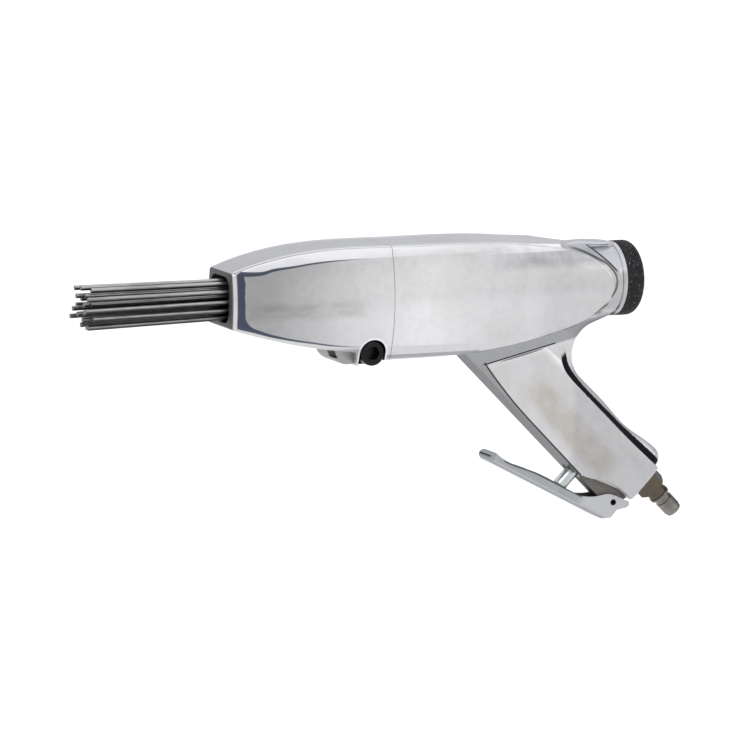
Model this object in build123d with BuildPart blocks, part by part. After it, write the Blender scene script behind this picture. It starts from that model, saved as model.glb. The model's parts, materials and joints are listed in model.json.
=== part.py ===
from build123d import *
from math import cos, pi, radians, sin, sqrt, tan
import os

os.makedirs("parts", exist_ok=True)

# Pistol-grip pneumatic needle scaler, millimetres.
# Origin: centre of the nose mouth, on the barrel axis.
# +X runs back along the barrel, the needles point to -X, +Z is up, the grip hangs below.

# ---------------------------------------------------------------- driving dimensions
# Fits
running_gap = 0.05          # radial, a part that slides or turns in its bore
seat_gap = 0.02             # radial, a part that is only located by its bore
loose_gap = 0.3             # between parts that never touch

# Casting outline, seen from the side
nose_half_height = 17.2
brow_x, brow_height = 25.0, 24.7
crown_x, crown_height = 64.0, 30.1
top_x, top_height = 118.0, 30.4
hip_x, hip_height = 194.0, 28.9
rump_x, rump_height = 229.0, 23.6
tail_top_x, tail_top_height = 250.5, 15.0
tail_x, tail_height = 262.6, -1.0
tail_low_x, tail_low_depth = 251.0, 16.4
heel_x, heel_depth = 223.0, 28.6
belly_x, belly_depth = 167.0, 39.0
chin_x, chin_depth = 56.0, 31.1
jaw_x, jaw_depth = 28.0, 25.2
parting_depth = 40.9

# Casting outline, seen from above
barrel_half_width = 30.0
nose_inset = 10.0           # each flank runs in this much to the nose
widest_x = 150.0
side_radius = 106.0         # roundness of the flanks, seen end on
side_centre_z = -4.0
edge_round = 2.2            # along the top edges of the flanks
nose_round = 2.4            # around the front of the nose

# Split line and pinch clamp
parting_x = 105.5
parting_gap = 0.12
spigot_length = 17.0
spigot_radius = 21.0
bolt_setback = 12.2         # bolt axis in front of the split line
bolt_drop = 35.7            # bolt axis below the barrel axis
bolt_radius = 5.0
bolt_head_radius = 8.0
bolt_head_height = 10.0
bolt_socket_flats = 8.0
bolt_socket_depth = 5.0
bolt_head_face_y = 24.0
bolt_reach = 16.0           # how far the bolt goes past the slit
pocket_gap = 0.5            # around the bolt head
boss_wall = 8.0             # bolt axis to the underside of the boss
boss_front = 11.5           # bolt axis to the front of the boss
lug_half_width = 16.0
lug_front_x = 69.5
lug_top_depth = 28.0
lug_lean = 3.6              # the lug's front runs back this much on its way down
lug_toe_round = 8.5
lug_corner_round = 4.0
slit_width = 2.0
slit_length = 26.0
lug_pocket_low_y, lug_pocket_high_y = -14.8, -4.8
lug_pocket_height = 8.4
lug_pocket_depth = 7.0

# Nose mouth and holder chamber
mouth_half_width = 14.4
mouth_half_height = 14.4
mouth_corner = 7.0
mouth_length = 18.0
chamber_radius = 18.0

# Rear end
collar_radius = 23.0
collar_end_x = 271.0
rim_radius = 23.9
rim_length = 2.6
shoulder_end_radius = 24.6
shoulder_start_x, shoulder_start_radius = 230.0, 27.6
flare_x, flare_radius = 222.0, 37.0
ridge_front_height = 29.6
ridge_front_x = 180.0
ridge_half_width = 7.3
facet_front_x = 248.0
facet_low_x, facet_low_z = 268.4, 7.5
panel_step = 0.5            # the flank panels stand this much proud of the shoulder
thread_bore_radius = 20.5

# Cylinder bores in the body
liner_radius = 17.0
liner_wall = 5.97
lip_length = 7.0
lip_radius = 15.5
exhaust_start_x, exhaust_end_x = 118.0, 136.0
gallery_start_x, gallery_end_x = 150.0, 230.0
gallery_radius = 19.0
stack_radius = 19.55
flange_thickness = 4.0
plate_thickness = 6.0
cover_thickness = 12.0
cushion_thickness = 2.0
exhaust_slot_width = 5.0
port_radius = 2.0
port_count = 6
seal_spacing = 5.0
oring_groove_width = 2.4
valve_throat_radius = 3.5
notch_count = 8
notch_depth = 2.0
notch_width = 5.0
dowel_radius = 1.5
dowel_circle = 14.5
dowel_sink = 3.6
cover_groove_start = 3.5
cover_groove_width = 3.5
cover_drilling_radius = 1.2

# Percussion parts
bush_length = 18.0
anvil_shank_radius = 8.5
anvil_disc_radius = 15.0
anvil_disc_thickness = 6.0
anvil_shank_length = 23.2
piston_length = 60.0
piston_nose_length = 4.0
disc_radius = 9.0
disc_thickness = 0.9
disc_lift = 0.8
steel_chamfer = 1.0
piston_grooves = 3
piston_groove_width = 1.6

# Needles
needle_diameter = 3.0
needle_length = 180.0
needle_head_diameter = 4.0
needle_head_thickness = 1.5
needle_seat_lift = 0.06     # heads stand this far off the holder, so the tilted ones clear it
needle_hole_gap = 0.25
holder_thickness = 10.0
holder_chamfer = 0.6
ring_counts = (3, 9, 12)
ring_radii = (2.6, 6.9, 11.0)
needle_splay = 0.0009       # outward slope per millimetre of ring radius
needle_droop = 0.0088       # downward slope
needle_wander = 0.0035      # how unevenly the loose needles lie
needle_stagger = 3.4        # how unevenly their tips end
holder_spring_wire = 2.6
holder_spring_turns = 8.0

# Grip
grip_angle = 45.0           # below the barrel axis
grip_top_x, grip_top_z = 160.0, -38.5
grip_length = 161.0
grip_depth = 45.5
grip_half_width = 10.8
grip_heel = 4.2             # how far the foot of the backstrap kicks out
grip_corner = 8.0
backstrap_round = 7.0
neck_radius = 20.4
neck_along = 78.0
neck_exit_angle = 110.0     # where the neck's curve runs out under the collar
pad_half_width = 16.0
pad_crown_radius = 66.0
pad_crown_depth = 25.0
pad_taper = 1.6             # degrees, each pad stands less proud towards its top
pad_front_depth = 0.75
pad_rear_inset = 6.5        # pad's rear edge in front of the backstrap
pad_lead_in = 15.0
pad_top_front = 20.0
pad_top_rear = 50.5
pad_edge_round = 1.0
pad_foot_round = 3.0
recess_length = 39.5        # foot of the grip to where it narrows to the tang
backstrap_kick = 35.0       # foot of the grip to where the backstrap begins to kick out
recess_depth = 12.2
tang_half_width = 5.7

# Lever
pivot_height = 6.7          # lever's pin above the foot of the grip
pivot_depth = 4.3
lever_pin_radius = 2.0
lever_rest_angle = 27.7     # the lever's underside, below the barrel axis
lever_half_width = 8.0
lever_wall = 2.0
lever_floor_wall = 4.0
lever_floor_drop = 12.75    # pivot to the lever's underside
lever_reach = 95.0
lever_tip_solid = 11.0
lever_tip_height = -6.0     # heights from the pivot, towards the grip
lever_saddle = 24.5
lever_saddle_height = -5.9
lever_cheek_height = 4.6
lever_heel = -10.3
lever_heel_step = 2.6
lever_pin_wall = 0.9
lever_pin_inset = 0.4
lever_edge_round = 2.8
lever_squeeze = 13.0        # degrees from rest to fully open throttle

# Throttle
valve_height = 40.2         # throttle valve above the foot of the grip
plunger_radius = 4.5
plunger_collar_radius = 5.6
plunger_collar_thickness = 1.5
plunger_stem_radius = 2.4
plunger_tip_round = 3.4
guide_radius = 7.0
guide_inset = 0.6
guide_length = 6.0
seat_bush_length = 4.0
seat_hole_radius = 4.2
poppet_radius = 5.4
poppet_thickness = 2.2
face_thickness = 1.5
spring_room = 15.0
throttle_spring_wire = 1.0
throttle_spring_turns = 5.0
plunger_seal_thickness = 1.5
plunger_seal_groove = 1.8
poppet_boss_radius = 2.5
poppet_stub_length = 4.0
feed_reach = 16.0           # how far the feed passage runs above the top of the grip

# Air inlet
inlet_inset = 13.7          # inlet in front of the backstrap
inlet_thread_radius = 6.45
inlet_thread_length = 12.5
inlet_passage_radius = 4.0
feed_passage_radius = 3.5
plug_flats = 17.0
plug_hex_length = 10.5
hex_turning = 1.2
plug_bore_radius = 3.5
plug_shoulder_radius = 6.3
plug_shoulder_length = 5.6
plug_ring_radius = 6.8
plug_ring_length = 1.9
plug_groove_radius = 5.3
plug_groove_length = 4.0
plug_barrel_radius = 5.85
plug_barrel_length = 8.6
plug_tip_radius = 5.3
plug_tip_length = 2.0
washer_thickness = 1.5
washer_radius = 9.4
filter_length = 14.0
filter_wall = 1.2

# Cap
cap_head_radius = 21.0
cap_head_length = 10.4
cap_bore_radius = 14.0
cap_bore_depth = 11.0
cap_skirt = 3.2             # rubber behind the cap head
cover_radius = 24.0
cover_round = 4.8
oring_thickness = 2.0

# ---------------------------------------------------------------- derived places
spigot_front_x = parting_x - spigot_length
liner_front_x = spigot_front_x + lip_length
bolt_x = parting_x - bolt_setback
bolt_z = -bolt_drop
flange_rear_x = gallery_end_x + flange_thickness
plate_rear_x = flange_rear_x + plate_thickness
cover_rear_x = plate_rear_x + cover_thickness
cap_front_x = cover_rear_x + cushion_thickness
liner_bore = liner_radius - liner_wall
anvil_rear_x = liner_front_x - seat_gap
anvil_front_x = anvil_rear_x - anvil_disc_thickness
head_rear_x = anvil_front_x - 0.2
holder_rear_x = head_rear_x - needle_head_thickness
holder_front_x = holder_rear_x - holder_thickness
piston_front_x = anvil_rear_x + anvil_shank_length + 0.2
piston_rear_x = piston_front_x + piston_length
land_mid_x = (exhaust_end_x + gallery_start_x) / 2
seal_places = (land_mid_x - seal_spacing / 2, land_mid_x + seal_spacing / 2)
pocket_depth = disc_thickness + disc_lift + 2 * seat_gap
feed_drilling_x = plate_rear_x + cover_groove_start + cover_groove_width / 2
cap_seal_x = collar_end_x - rim_length
cap_rear_x = collar_end_x + cap_head_length + cap_skirt
holder_coil_start_x = mouth_length + holder_spring_wire / 2 + running_gap
holder_coil_length = holder_front_x - mouth_length - holder_spring_wire - 2 * running_gap
holder_coil_radius = chamber_radius - pocket_gap - holder_spring_wire / 2

recess_start = grip_length - recess_length
pivot_along = grip_length - pivot_height
valve_along = grip_length - valve_height
kick_along = grip_length - backstrap_kick
pad_rear_depth = grip_depth - pad_rear_inset
inlet_depth = grip_depth - inlet_inset
grip_cos = cos(radians(grip_angle))
grip_sin = sin(radians(grip_angle))
# In this plane x runs down the grip and y runs back through its depth.
grip_side = Plane(origin=(grip_top_x, 0, grip_top_z), x_dir=(grip_cos, 0, -grip_sin), z_dir=(0, -1, 0))


def grip_point(along, depth, y=0.0):
    """World position of a place on the grip."""
    return grip_side.from_local_coords(Vector(along, depth, -y))


pivot = grip_point(pivot_along, pivot_depth)
lever_cos = cos(radians(lever_rest_angle))
lever_sin = sin(radians(lever_rest_angle))
# In this plane x runs from the pivot to the lever's tip and y runs towards the grip.
lever_side = Plane(origin=pivot, x_dir=(-lever_cos, 0, lever_sin), z_dir=(0, 1, 0))
valve_axis = Axis(grip_point(valve_along, 0), Vector(grip_sin, 0, grip_cos))
inlet_axis = Axis(grip_point(0, inlet_depth), Vector(grip_cos, 0, -grip_sin))

lever_floor = lever_floor_drop - lever_floor_wall


def plunger_contact(lean):
    """Grip depth at which the plunger's round end meets the lever's floor, for a lean in degrees."""
    lean = radians(lean)
    floor_depth = pivot_depth - lever_floor / cos(lean) - (pivot_along - valve_along) * tan(lean)
    flat_radius = plunger_radius - plunger_tip_round
    return floor_depth + flat_radius * tan(lean) + plunger_tip_round * (1 / cos(lean) - 1)


lever_lean = grip_angle - lever_rest_angle
plunger_tip = plunger_contact(lever_lean) + 0.2
plunger_stroke = plunger_contact(lever_lean - lever_squeeze) - plunger_contact(lever_lean)
collar_front = guide_inset + guide_length + 0.2
collar_rear = collar_front + plunger_collar_thickness
seat_front = collar_rear + plunger_stroke + loose_gap
seat_rear = seat_front + seat_bush_length
face_rear = seat_rear + face_thickness
poppet_rear = face_rear + poppet_thickness
chamber_end = poppet_rear + spring_room
feed_depth = (guide_inset + guide_length + seat_front) / 2
feed_axis = Axis(grip_point(0, feed_depth), Vector(grip_cos, 0, -grip_sin))
plunger_seal_depth = guide_inset + guide_length / 2
throttle_coil_start = poppet_rear + throttle_spring_wire / 2 + running_gap
throttle_coil_length = spring_room - throttle_spring_wire - 2 * running_gap
throttle_coil_radius = poppet_radius - 2 * throttle_spring_wire / 2
thread_end = grip_length - inlet_thread_length
hex_start = grip_length + washer_thickness
hex_end = hex_start + plug_hex_length
shoulder_end = hex_end + plug_shoulder_length
ring_end = shoulder_end + plug_ring_length
groove_end = ring_end + plug_groove_length
barrel_end = groove_end + plug_barrel_length
plug_end = barrel_end + plug_tip_length


def barrel_ring(start_x, end_x, outer, inner=0.0):
    """Half section of a ring about the barrel axis; used inside a sketch on Plane.XZ."""
    with Locations(((start_x + end_x) / 2, (outer + inner) / 2)):
        Rectangle(end_x - start_x, outer - inner)


def grip_ring(start, end, outer, inner=0.0):
    """Half section of a ring about the valve axis; used inside a sketch on grip_side."""
    with Locations((valve_along + (outer + inner) / 2, (start + end) / 2)):
        Rectangle(outer - inner, end - start)


def inlet_ring(start, end, outer, inner=0.0):
    """Half section of a ring about the inlet axis; used inside a sketch on grip_side."""
    with Locations(((start + end) / 2, inlet_depth + (outer + inner) / 2)):
        Rectangle(end - start, outer - inner)


# ---------------------------------------------------------------- casting outline
nose_half_width = barrel_half_width - nose_inset
flank_axis_y = side_radius - barrel_half_width
flank_plan_radius = (widest_x**2 + nose_inset**2) / (2 * nose_inset)
flank_start_x = -nose_half_width
flank_end_x = 2 * widest_x


def flank_half_width(x, inset=0.0):
    """Half width of the casting at its flank's centre line, at a station along the barrel."""
    return barrel_half_width - inset - flank_plan_radius + sqrt(flank_plan_radius**2 - (x - widest_x) ** 2)


# The whole casting as one form: the side outline extruded, with both flanks turned to a large radius.
# It is split later into the front case and the body.
with BuildPart() as casting_form:
    with BuildSketch(Plane.XZ.offset(-2 * barrel_half_width)):
        with BuildLine():
            Spline(
                (0, nose_half_height),
                (brow_x, brow_height),
                (crown_x, crown_height),
                (top_x, top_height),
                (hip_x, hip_height),
                (rump_x, rump_height),
                (tail_top_x, tail_top_height),
                (tail_x, tail_height),
                (tail_low_x, -tail_low_depth),
                (heel_x, -heel_depth),
                (belly_x, -belly_depth),
                (parting_x, -parting_depth),
            )
            Line((parting_x, -parting_depth), (bolt_x + bolt_head_radius - 1, -parting_depth))
            Line((bolt_x + bolt_head_radius - 1, -parting_depth), (bolt_x + 2, bolt_z - boss_wall))
            Line((bolt_x + 2, bolt_z - boss_wall), (bolt_x - boss_front + 2, bolt_z - boss_wall))
            boss_foot = (bolt_x - boss_front, -(bolt_drop - 1))
            Line((bolt_x - boss_front + 2, bolt_z - boss_wall), boss_foot)
            Spline(boss_foot, (chin_x, -chin_depth), (jaw_x, -jaw_depth), (0, -nose_half_height))
            Line((0, -nose_half_height), (0, nose_half_height))
        make_face()
    extrude(amount=4 * barrel_half_width)
    for side in (-1, 1):
        with BuildSketch(Plane.XY.offset(side_centre_z)):
            with BuildLine():
                flank = ThreePointArc(
                    (flank_start_x, side * flank_half_width(flank_start_x)),
                    (widest_x, side * barrel_half_width),
                    (flank_end_x, side * flank_half_width(flank_end_x)),
                )
                Polyline(
                    flank @ 1,
                    (flank_end_x, -side * flank_axis_y),
                    (flank_start_x, -side * flank_axis_y),
                    flank @ 0,
                )
            make_face()
        revolve(axis=Axis((0, -side * flank_axis_y, side_centre_z), (1, 0, 0)), mode=Mode.INTERSECT)


# ---------------------------------------------------------------- front case
# Clamp lug, a narrower keel in front of the bolt boss
with BuildPart() as lug_form:
    with BuildSketch(Plane.XZ.offset(-lug_half_width)):
        with BuildLine():
            lug_foot = bolt_z - boss_wall
            keel = Spline(
                (lug_front_x, -lug_top_depth),
                (lug_front_x + lug_lean, bolt_z - 0.55 * boss_wall),
                (lug_front_x + lug_toe_round, lug_foot + 0.4),
                (bolt_x - boss_front + 2, lug_foot),
                tangents=[(0.12, -1), (1, 0)],
            )
            Polyline(keel @ 1, (bolt_x, lug_foot), (bolt_x, -lug_top_depth + 4), (lug_front_x, -lug_top_depth + 4), keel @ 0)
        make_face()
    extrude(amount=2 * lug_half_width)
    keel_edges = lug_form.edges().filter_by(
        lambda e: abs((e @ 0.5).Y) > lug_half_width - 0.1 and (e @ 0.5).Z < -lug_top_depth and (e @ 0.5).X < bolt_x - 1
    )
    fillet(keel_edges, lug_corner_round)

with BuildPart() as front_case:
    add(casting_form.part)
    split(bisect_by=Plane.YZ.offset(parting_x - parting_gap / 2), keep=Keep.BOTTOM)
    flank_edges = front_case.edges().filter_by(lambda e: e.bounding_box().size.X > barrel_half_width)
    fillet(flank_edges.group_by(Axis.Z)[-1], edge_round)
    nose_edges = front_case.edges().filter_by(lambda e: e.bounding_box().max.X < nose_round / 2)
    fillet(nose_edges, nose_round)
    add(lug_form.part)
    # Relief pocket in the front of the lug, beside the bolt head
    pocket_mid_y = (lug_pocket_low_y + lug_pocket_high_y) / 2
    with BuildSketch(Plane.YZ.offset(lug_front_x - 1)):
        with Locations((pocket_mid_y, bolt_z + 0.5)):
            RectangleRounded(lug_pocket_high_y - lug_pocket_low_y, lug_pocket_height, 1.2)
    extrude(amount=lug_pocket_depth, mode=Mode.SUBTRACT)
    # Spigot socket, holder chamber and mouth
    with BuildSketch(Plane.XZ):
        barrel_ring(spigot_front_x, parting_x, spigot_radius + seat_gap)
        barrel_ring(mouth_length, spigot_front_x, chamber_radius)
    revolve(axis=Axis.X, mode=Mode.SUBTRACT)
    with BuildSketch(Plane.YZ.offset(-1)):
        RectangleRounded(2 * mouth_half_width, 2 * mouth_half_height, mouth_corner)
    extrude(amount=mouth_length + 2, mode=Mode.SUBTRACT)
    # Slit under the socket, closed by the bolt
    with Locations((parting_x - slit_length / 2, 0, bolt_z)):
        Box(slit_length, slit_width, 2 * (bolt_drop - spigot_radius) + 2, mode=Mode.SUBTRACT)
    # Bolt hole: clearance on the head side, thread on the other
    with BuildSketch(Plane.XZ):
        with Locations((bolt_x, bolt_z)):
            Circle(bolt_radius + 0.25)
    extrude(amount=barrel_half_width, mode=Mode.SUBTRACT)
    with BuildSketch(Plane.XZ):
        with Locations((bolt_x, bolt_z)):
            Circle(bolt_radius + seat_gap)
    extrude(amount=-bolt_reach - 1, mode=Mode.SUBTRACT)
    # Pocket for the bolt head, open underneath
    head_seat_y = bolt_head_face_y - bolt_head_height
    with BuildSketch(Plane.XZ.offset(head_seat_y)):
        with Locations((bolt_x, bolt_z)):
            Circle(bolt_head_radius + pocket_gap)
        with Locations((bolt_x, bolt_z - boss_wall / 2 - 1)):
            Rectangle(2 * (bolt_head_radius + pocket_gap), boss_wall + 2)
    extrude(amount=barrel_half_width, mode=Mode.SUBTRACT)
front_case.part.label = "front_case"
export_step(front_case.part, "parts/front_case.step")

# ---------------------------------------------------------------- clamp bolt
with BuildPart() as clamp_bolt:
    with BuildSketch(Plane.XZ.offset(head_seat_y)):
        with Locations((bolt_x, bolt_z)):
            Circle(bolt_head_radius)
    extrude(amount=bolt_head_height)
    chamfer(clamp_bolt.edges().sort_by(Axis.Y)[0], 0.8)
    with BuildSketch(Plane.XZ.offset(head_seat_y)):
        with Locations((bolt_x, bolt_z)):
            Circle(bolt_radius)
    extrude(amount=-head_seat_y - bolt_reach)
    chamfer(clamp_bolt.edges().sort_by(Axis.Y)[-1], 0.8)
    with BuildSketch(Plane.XZ.offset(bolt_head_face_y)):
        with Locations((bolt_x, bolt_z)):
            RegularPolygon(bolt_socket_flats / 2, 6, major_radius=False)
    extrude(amount=-bolt_socket_depth, mode=Mode.SUBTRACT)
clamp_bolt.part.label = "clamp_bolt"
export_step(clamp_bolt.part, "parts/clamp_bolt.step")

# ---------------------------------------------------------------- main body
# Everything behind the diagonal falls back to the collar, except the top ridge and the rim
with BuildPart() as facet_cut:
    with BuildSketch(Plane.XZ.offset(-2 * barrel_half_width)):
        with BuildLine():
            Polyline(
                (facet_front_x, rim_radius - 0.2),
                (collar_end_x - rim_length, rim_radius - 0.2),
                (collar_end_x - rim_length, -2 * collar_radius),
                (tail_low_x - 6, -2 * collar_radius),
                (tail_x - 3, -collar_radius / 3),
                (facet_low_x - 3, facet_low_z + 1.5),
                close=True,
            )
        make_face()
    extrude(amount=4 * barrel_half_width)
    with BuildSketch(Plane.YZ.offset(ridge_front_x)):
        Circle(collar_radius)
    extrude(amount=collar_end_x, mode=Mode.SUBTRACT)
    with Locations((collar_end_x, 0, collar_radius)):
        Box(4 * barrel_half_width, 2 * ridge_half_width, 2 * collar_radius, mode=Mode.SUBTRACT)

# Rear shoulder: lower than the flank panels, turned about the barrel axis and flat on top
with BuildPart() as shoulder_form:
    with BuildSketch(Plane.XZ.offset(-2 * barrel_half_width)):
        with BuildLine():
            Polyline(
                (ridge_front_x, 0),
                (ridge_front_x, ridge_front_height - 0.2),
                (collar_end_x, rim_radius - 0.1),
                (collar_end_x, -collar_radius),
                (heel_x + 14, -collar_radius),
                (ridge_front_x, -collar_radius),
                close=True,
            )
        make_face()
    extrude(amount=4 * barrel_half_width)
    with BuildSketch(Plane.XZ):
        with BuildLine():
            flare = Spline(
                (flare_x, flare_radius),
                (shoulder_start_x, shoulder_start_radius),
                (facet_front_x, (shoulder_start_radius + shoulder_end_radius) / 2 - 0.2),
                (collar_end_x - rim_length, shoulder_end_radius - 0.3),
            )
            Polyline(
                flare @ 1,
                (collar_end_x - rim_length, rim_radius),
                (collar_end_x, rim_radius),
                (collar_end_x, 0),
                (ridge_front_x - 1, 0),
                (ridge_front_x - 1, flare_radius),
                flare @ 0,
            )
        make_face()
    revolve(axis=Axis.X, mode=Mode.INTERSECT)
    for side in (-1, 1):
        with BuildSketch(Plane.XY.offset(side_centre_z)):
            with BuildLine():
                inner_flank = ThreePointArc(
                    (flank_start_x, side * flank_half_width(flank_start_x, panel_step)),
                    (widest_x, side * (barrel_half_width - panel_step)),
                    (flank_end_x, side * flank_half_width(flank_end_x, panel_step)),
                )
                Polyline(
                    inner_flank @ 1,
                    (flank_end_x, -side * flank_axis_y),
                    (flank_start_x, -side * flank_axis_y),
                    inner_flank @ 0,
                )
            make_face()
        revolve(axis=Axis((0, -side * flank_axis_y, side_centre_z), (1, 0, 0)), mode=Mode.INTERSECT)
    add(facet_cut.part, mode=Mode.SUBTRACT)

# Grip: a flat-sided block with a rounded backstrap
with BuildPart() as grip_form:
    with BuildSketch(grip_side.offset(-grip_half_width)):
        with BuildLine():
            neck_depth = grip_depth + neck_radius
            neck_start = (neck_along, neck_depth - neck_radius)
            neck_turn = radians(neck_exit_angle + grip_angle - 360)
            neck_mid_turn = (neck_turn - pi / 2) / 2
            neck_mid = (neck_along + neck_radius * cos(neck_mid_turn), neck_depth + neck_radius * sin(neck_mid_turn))
            neck_end = (neck_along + neck_radius * cos(neck_turn), neck_depth + neck_radius * sin(neck_turn))
            neck_exit = (
                neck_end[0] + 0.8 * neck_radius * sin(neck_turn),
                neck_end[1] - 0.8 * neck_radius * cos(neck_turn),
            )
            ThreePointArc(neck_start, neck_mid, neck_end)
            Polyline(neck_end, neck_exit, (neck_along / 2, neck_exit[1]), (-grip_half_width, neck_depth))
            Line((-grip_half_width, neck_depth), (-grip_half_width, 0))
            Line((-grip_half_width, 0), (recess_start, 0))
            recess = ThreePointArc(
                (recess_start, 0),
                (recess_start + 14.0, 0.56 * recess_depth),
                (recess_start + 28.0, recess_depth),
            )
            Line(recess @ 1, (grip_length, recess_depth + 0.5))
            foot_depth = grip_depth + grip_heel
            Line((grip_length, recess_depth + 0.5), (grip_length, foot_depth - grip_corner))
            RadiusArc(
                (grip_length, foot_depth - grip_corner),
                (grip_length - grip_corner, foot_depth),
                -grip_corner,
            )
            Spline(
                (grip_length - grip_corner, foot_depth),
                (kick_along, grip_depth),
                (neck_along + 25, grip_depth + 0.4),
                neck_start,
                tangents=[(-1, -0.05), (-1, 0)],
            )
        make_face()
    extrude(amount=2 * grip_half_width)
    # Nothing of the neck stands behind the collar
    with Locations((collar_end_x + collar_radius, 0, 0)):
        Box(2 * collar_radius, 2 * barrel_half_width, 2 * collar_radius, mode=Mode.SUBTRACT)
    side_edges = grip_form.edges().filter_by(lambda e: abs(e.center().Y) > grip_half_width - 0.1)
    strap_edges = side_edges.filter_by(
        lambda e: grip_side.to_local_coords(e @ 0.5).Y > grip_depth - 3
        and grip_side.to_local_coords(e @ 0.5).X > neck_end[0] - 1
    )
    fillet(strap_edges, backstrap_round)

# Crowned side pads of the grip
with BuildPart() as pad_form:
    with BuildSketch(grip_side.offset(-pad_half_width)):
        with BuildLine():
            pad_corner = (pad_top_front, pad_front_depth + 2.2)
            pad_toe = (recess_start - 2.0, pad_front_depth - 0.6)
            pad_lead = (pad_top_front + pad_lead_in, pad_front_depth + 0.7)
            Spline(pad_corner, pad_lead, pad_toe, tangents=[(0.9, -0.25), (1, 0)])
            Spline(
                pad_toe,
                (recess_start + 14.0, 0.56 * recess_depth + 0.6),
                (recess_start + 28.0, recess_depth + 0.3),
                (grip_length - 0.3, recess_depth + 0.8),
                tangents=[(1, 0.1), (1, 0.1)],
            )
            Line((grip_length - 0.3, recess_depth + 0.8), (grip_length - 0.3, pad_rear_depth))
            Spline(
                (grip_length - 0.3, pad_rear_depth + 1.5),
                (kick_along, pad_rear_depth),
                (neck_along + 8, pad_rear_depth),
                (neck_along - 14, pad_rear_depth + 1.5),
                (pad_top_rear + 4, pad_rear_depth + 7),
            )
            Line((grip_length - 0.3, pad_rear_depth), (grip_length - 0.3, pad_rear_depth + 1.5))
            Line((pad_top_rear + 4, pad_rear_depth + 7), (pad_top_rear - 2, pad_rear_depth + 9))
            Line((pad_top_rear - 2, pad_rear_depth + 9), pad_corner)
        make_face()
    extrude(amount=2 * pad_half_width)
    crown_axis_y = pad_crown_radius - pad_half_width
    taper_cos = cos(radians(pad_taper))
    taper_sin = sin(radians(pad_taper))
    for side in (-1, 1):
        crown_plane = Plane(
            origin=grip_point(grip_length, pad_crown_depth, -side * crown_axis_y),
            x_dir=(grip_sin, 0, grip_cos),
            z_dir=(-grip_cos * taper_cos, -side * taper_sin, grip_sin * taper_cos),
        )
        with BuildSketch(crown_plane.offset(-grip_corner)):
            Circle(pad_crown_radius)
        extrude(amount=grip_length + 2 * grip_corner, mode=Mode.INTERSECT)
    foot_edges = pad_form.edges().filter_by(
        lambda e: grip_side.to_local_coords(e @ 0.5).X > grip_length - 1 and abs((e @ 0.5).Y) > grip_half_width / 2
    )
    fillet(foot_edges, pad_foot_round)
    rim_edges = pad_form.edges().filter_by(
        lambda e: grip_side.to_local_coords(e @ 0.5).X < grip_length - pad_foot_round and abs((e @ 0.5).Y) > grip_half_width / 2
    )
    fillet(rim_edges, pad_edge_round)

with BuildPart() as main_body:
    add(casting_form.part)
    split(bisect_by=Plane.YZ.offset(parting_x + parting_gap / 2), keep=Keep.TOP)
    panel_edges = main_body.edges().filter_by(lambda e: e.bounding_box().size.X > barrel_half_width)
    fillet(panel_edges, edge_round)
    add(shoulder_form.part)
    # Spigot, collar and rim
    with BuildSketch(Plane.XZ):
        barrel_ring(spigot_front_x, top_x, spigot_radius)
        barrel_ring(top_x, collar_end_x, collar_radius)
        barrel_ring(collar_end_x - rim_length, collar_end_x, rim_radius)
    revolve(axis=Axis.X)
    add(grip_form.part)
    add(pad_form.part)
    # Tang under the grip, between the lever's cheeks
    with BuildSketch(grip_side.offset(-tang_half_width)):
        with BuildLine():
            tang_toe = (pivot_along + pivot_depth + 1.5, 0.4)
            Polyline(
                (recess_start - 10, 0.4),
                (pivot_along, 0.4),
                (pivot_along + 3.4, 1.6),
                (pivot_along + 4.6, pivot_depth + 1),
                (grip_length - 0.6, recess_depth + 4),
                (recess_start - 10, recess_depth + 4),
                close=True,
            )
        make_face()
    extrude(amount=2 * tang_half_width)
    # Barrel bores, from the front: spigot, lip, liner seat, exhaust belt, seal land, gallery, stack, thread
    with BuildSketch(Plane.XZ):
        barrel_ring(spigot_front_x, liner_front_x, lip_radius)
        barrel_ring(liner_front_x, gallery_end_x, liner_radius + running_gap)
        barrel_ring(exhaust_start_x, exhaust_end_x, gallery_radius)
        barrel_ring(gallery_start_x, gallery_end_x, gallery_radius)
        barrel_ring(gallery_end_x, cap_front_x, stack_radius + running_gap)
        barrel_ring(cap_front_x, collar_end_x + 1, thread_bore_radius)
    revolve(axis=Axis.X, mode=Mode.SUBTRACT)
    # Exhaust slots from the belt forward past the liner and out of the spigot's end
    with Locations((spigot_front_x, liner_radius, 0), (spigot_front_x, -liner_radius, 0)):
        Box(
            2 * (exhaust_start_x - spigot_front_x) + 1,
            exhaust_slot_width,
            exhaust_slot_width,
            mode=Mode.SUBTRACT,
        )
    # Throttle valve bore, blind from the front of the grip
    with BuildSketch(grip_side):
        grip_ring(-1, chamber_end, guide_radius + seat_gap)
    revolve(axis=valve_axis, mode=Mode.SUBTRACT)
    # Air inlet: thread, then the passage up to the throttle chamber
    with BuildSketch(grip_side):
        inlet_ring(thread_end, grip_length + 1, inlet_thread_radius)
        inlet_ring(valve_along, thread_end + 1, inlet_passage_radius)
    revolve(axis=inlet_axis, mode=Mode.SUBTRACT)
    # Feed passage from the chamber in front of the seat up to the gallery round the cylinder
    with BuildSketch(grip_side):
        with Locations(((valve_along - feed_reach) / 2, feed_depth + feed_passage_radius / 2)):
            Rectangle(valve_along + feed_reach, feed_passage_radius)
    revolve(axis=feed_axis, mode=Mode.SUBTRACT)
    # Hole for the lever's pin
    with BuildSketch(Plane.XZ.offset(-2 * tang_half_width)):
        with Locations((pivot.X, pivot.Z)):
            Circle(lever_pin_radius + seat_gap)
    extrude(amount=4 * tang_half_width, mode=Mode.SUBTRACT)
main_body.part.label = "main_body"
export_step(main_body.part, "parts/main_body.step")

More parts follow.
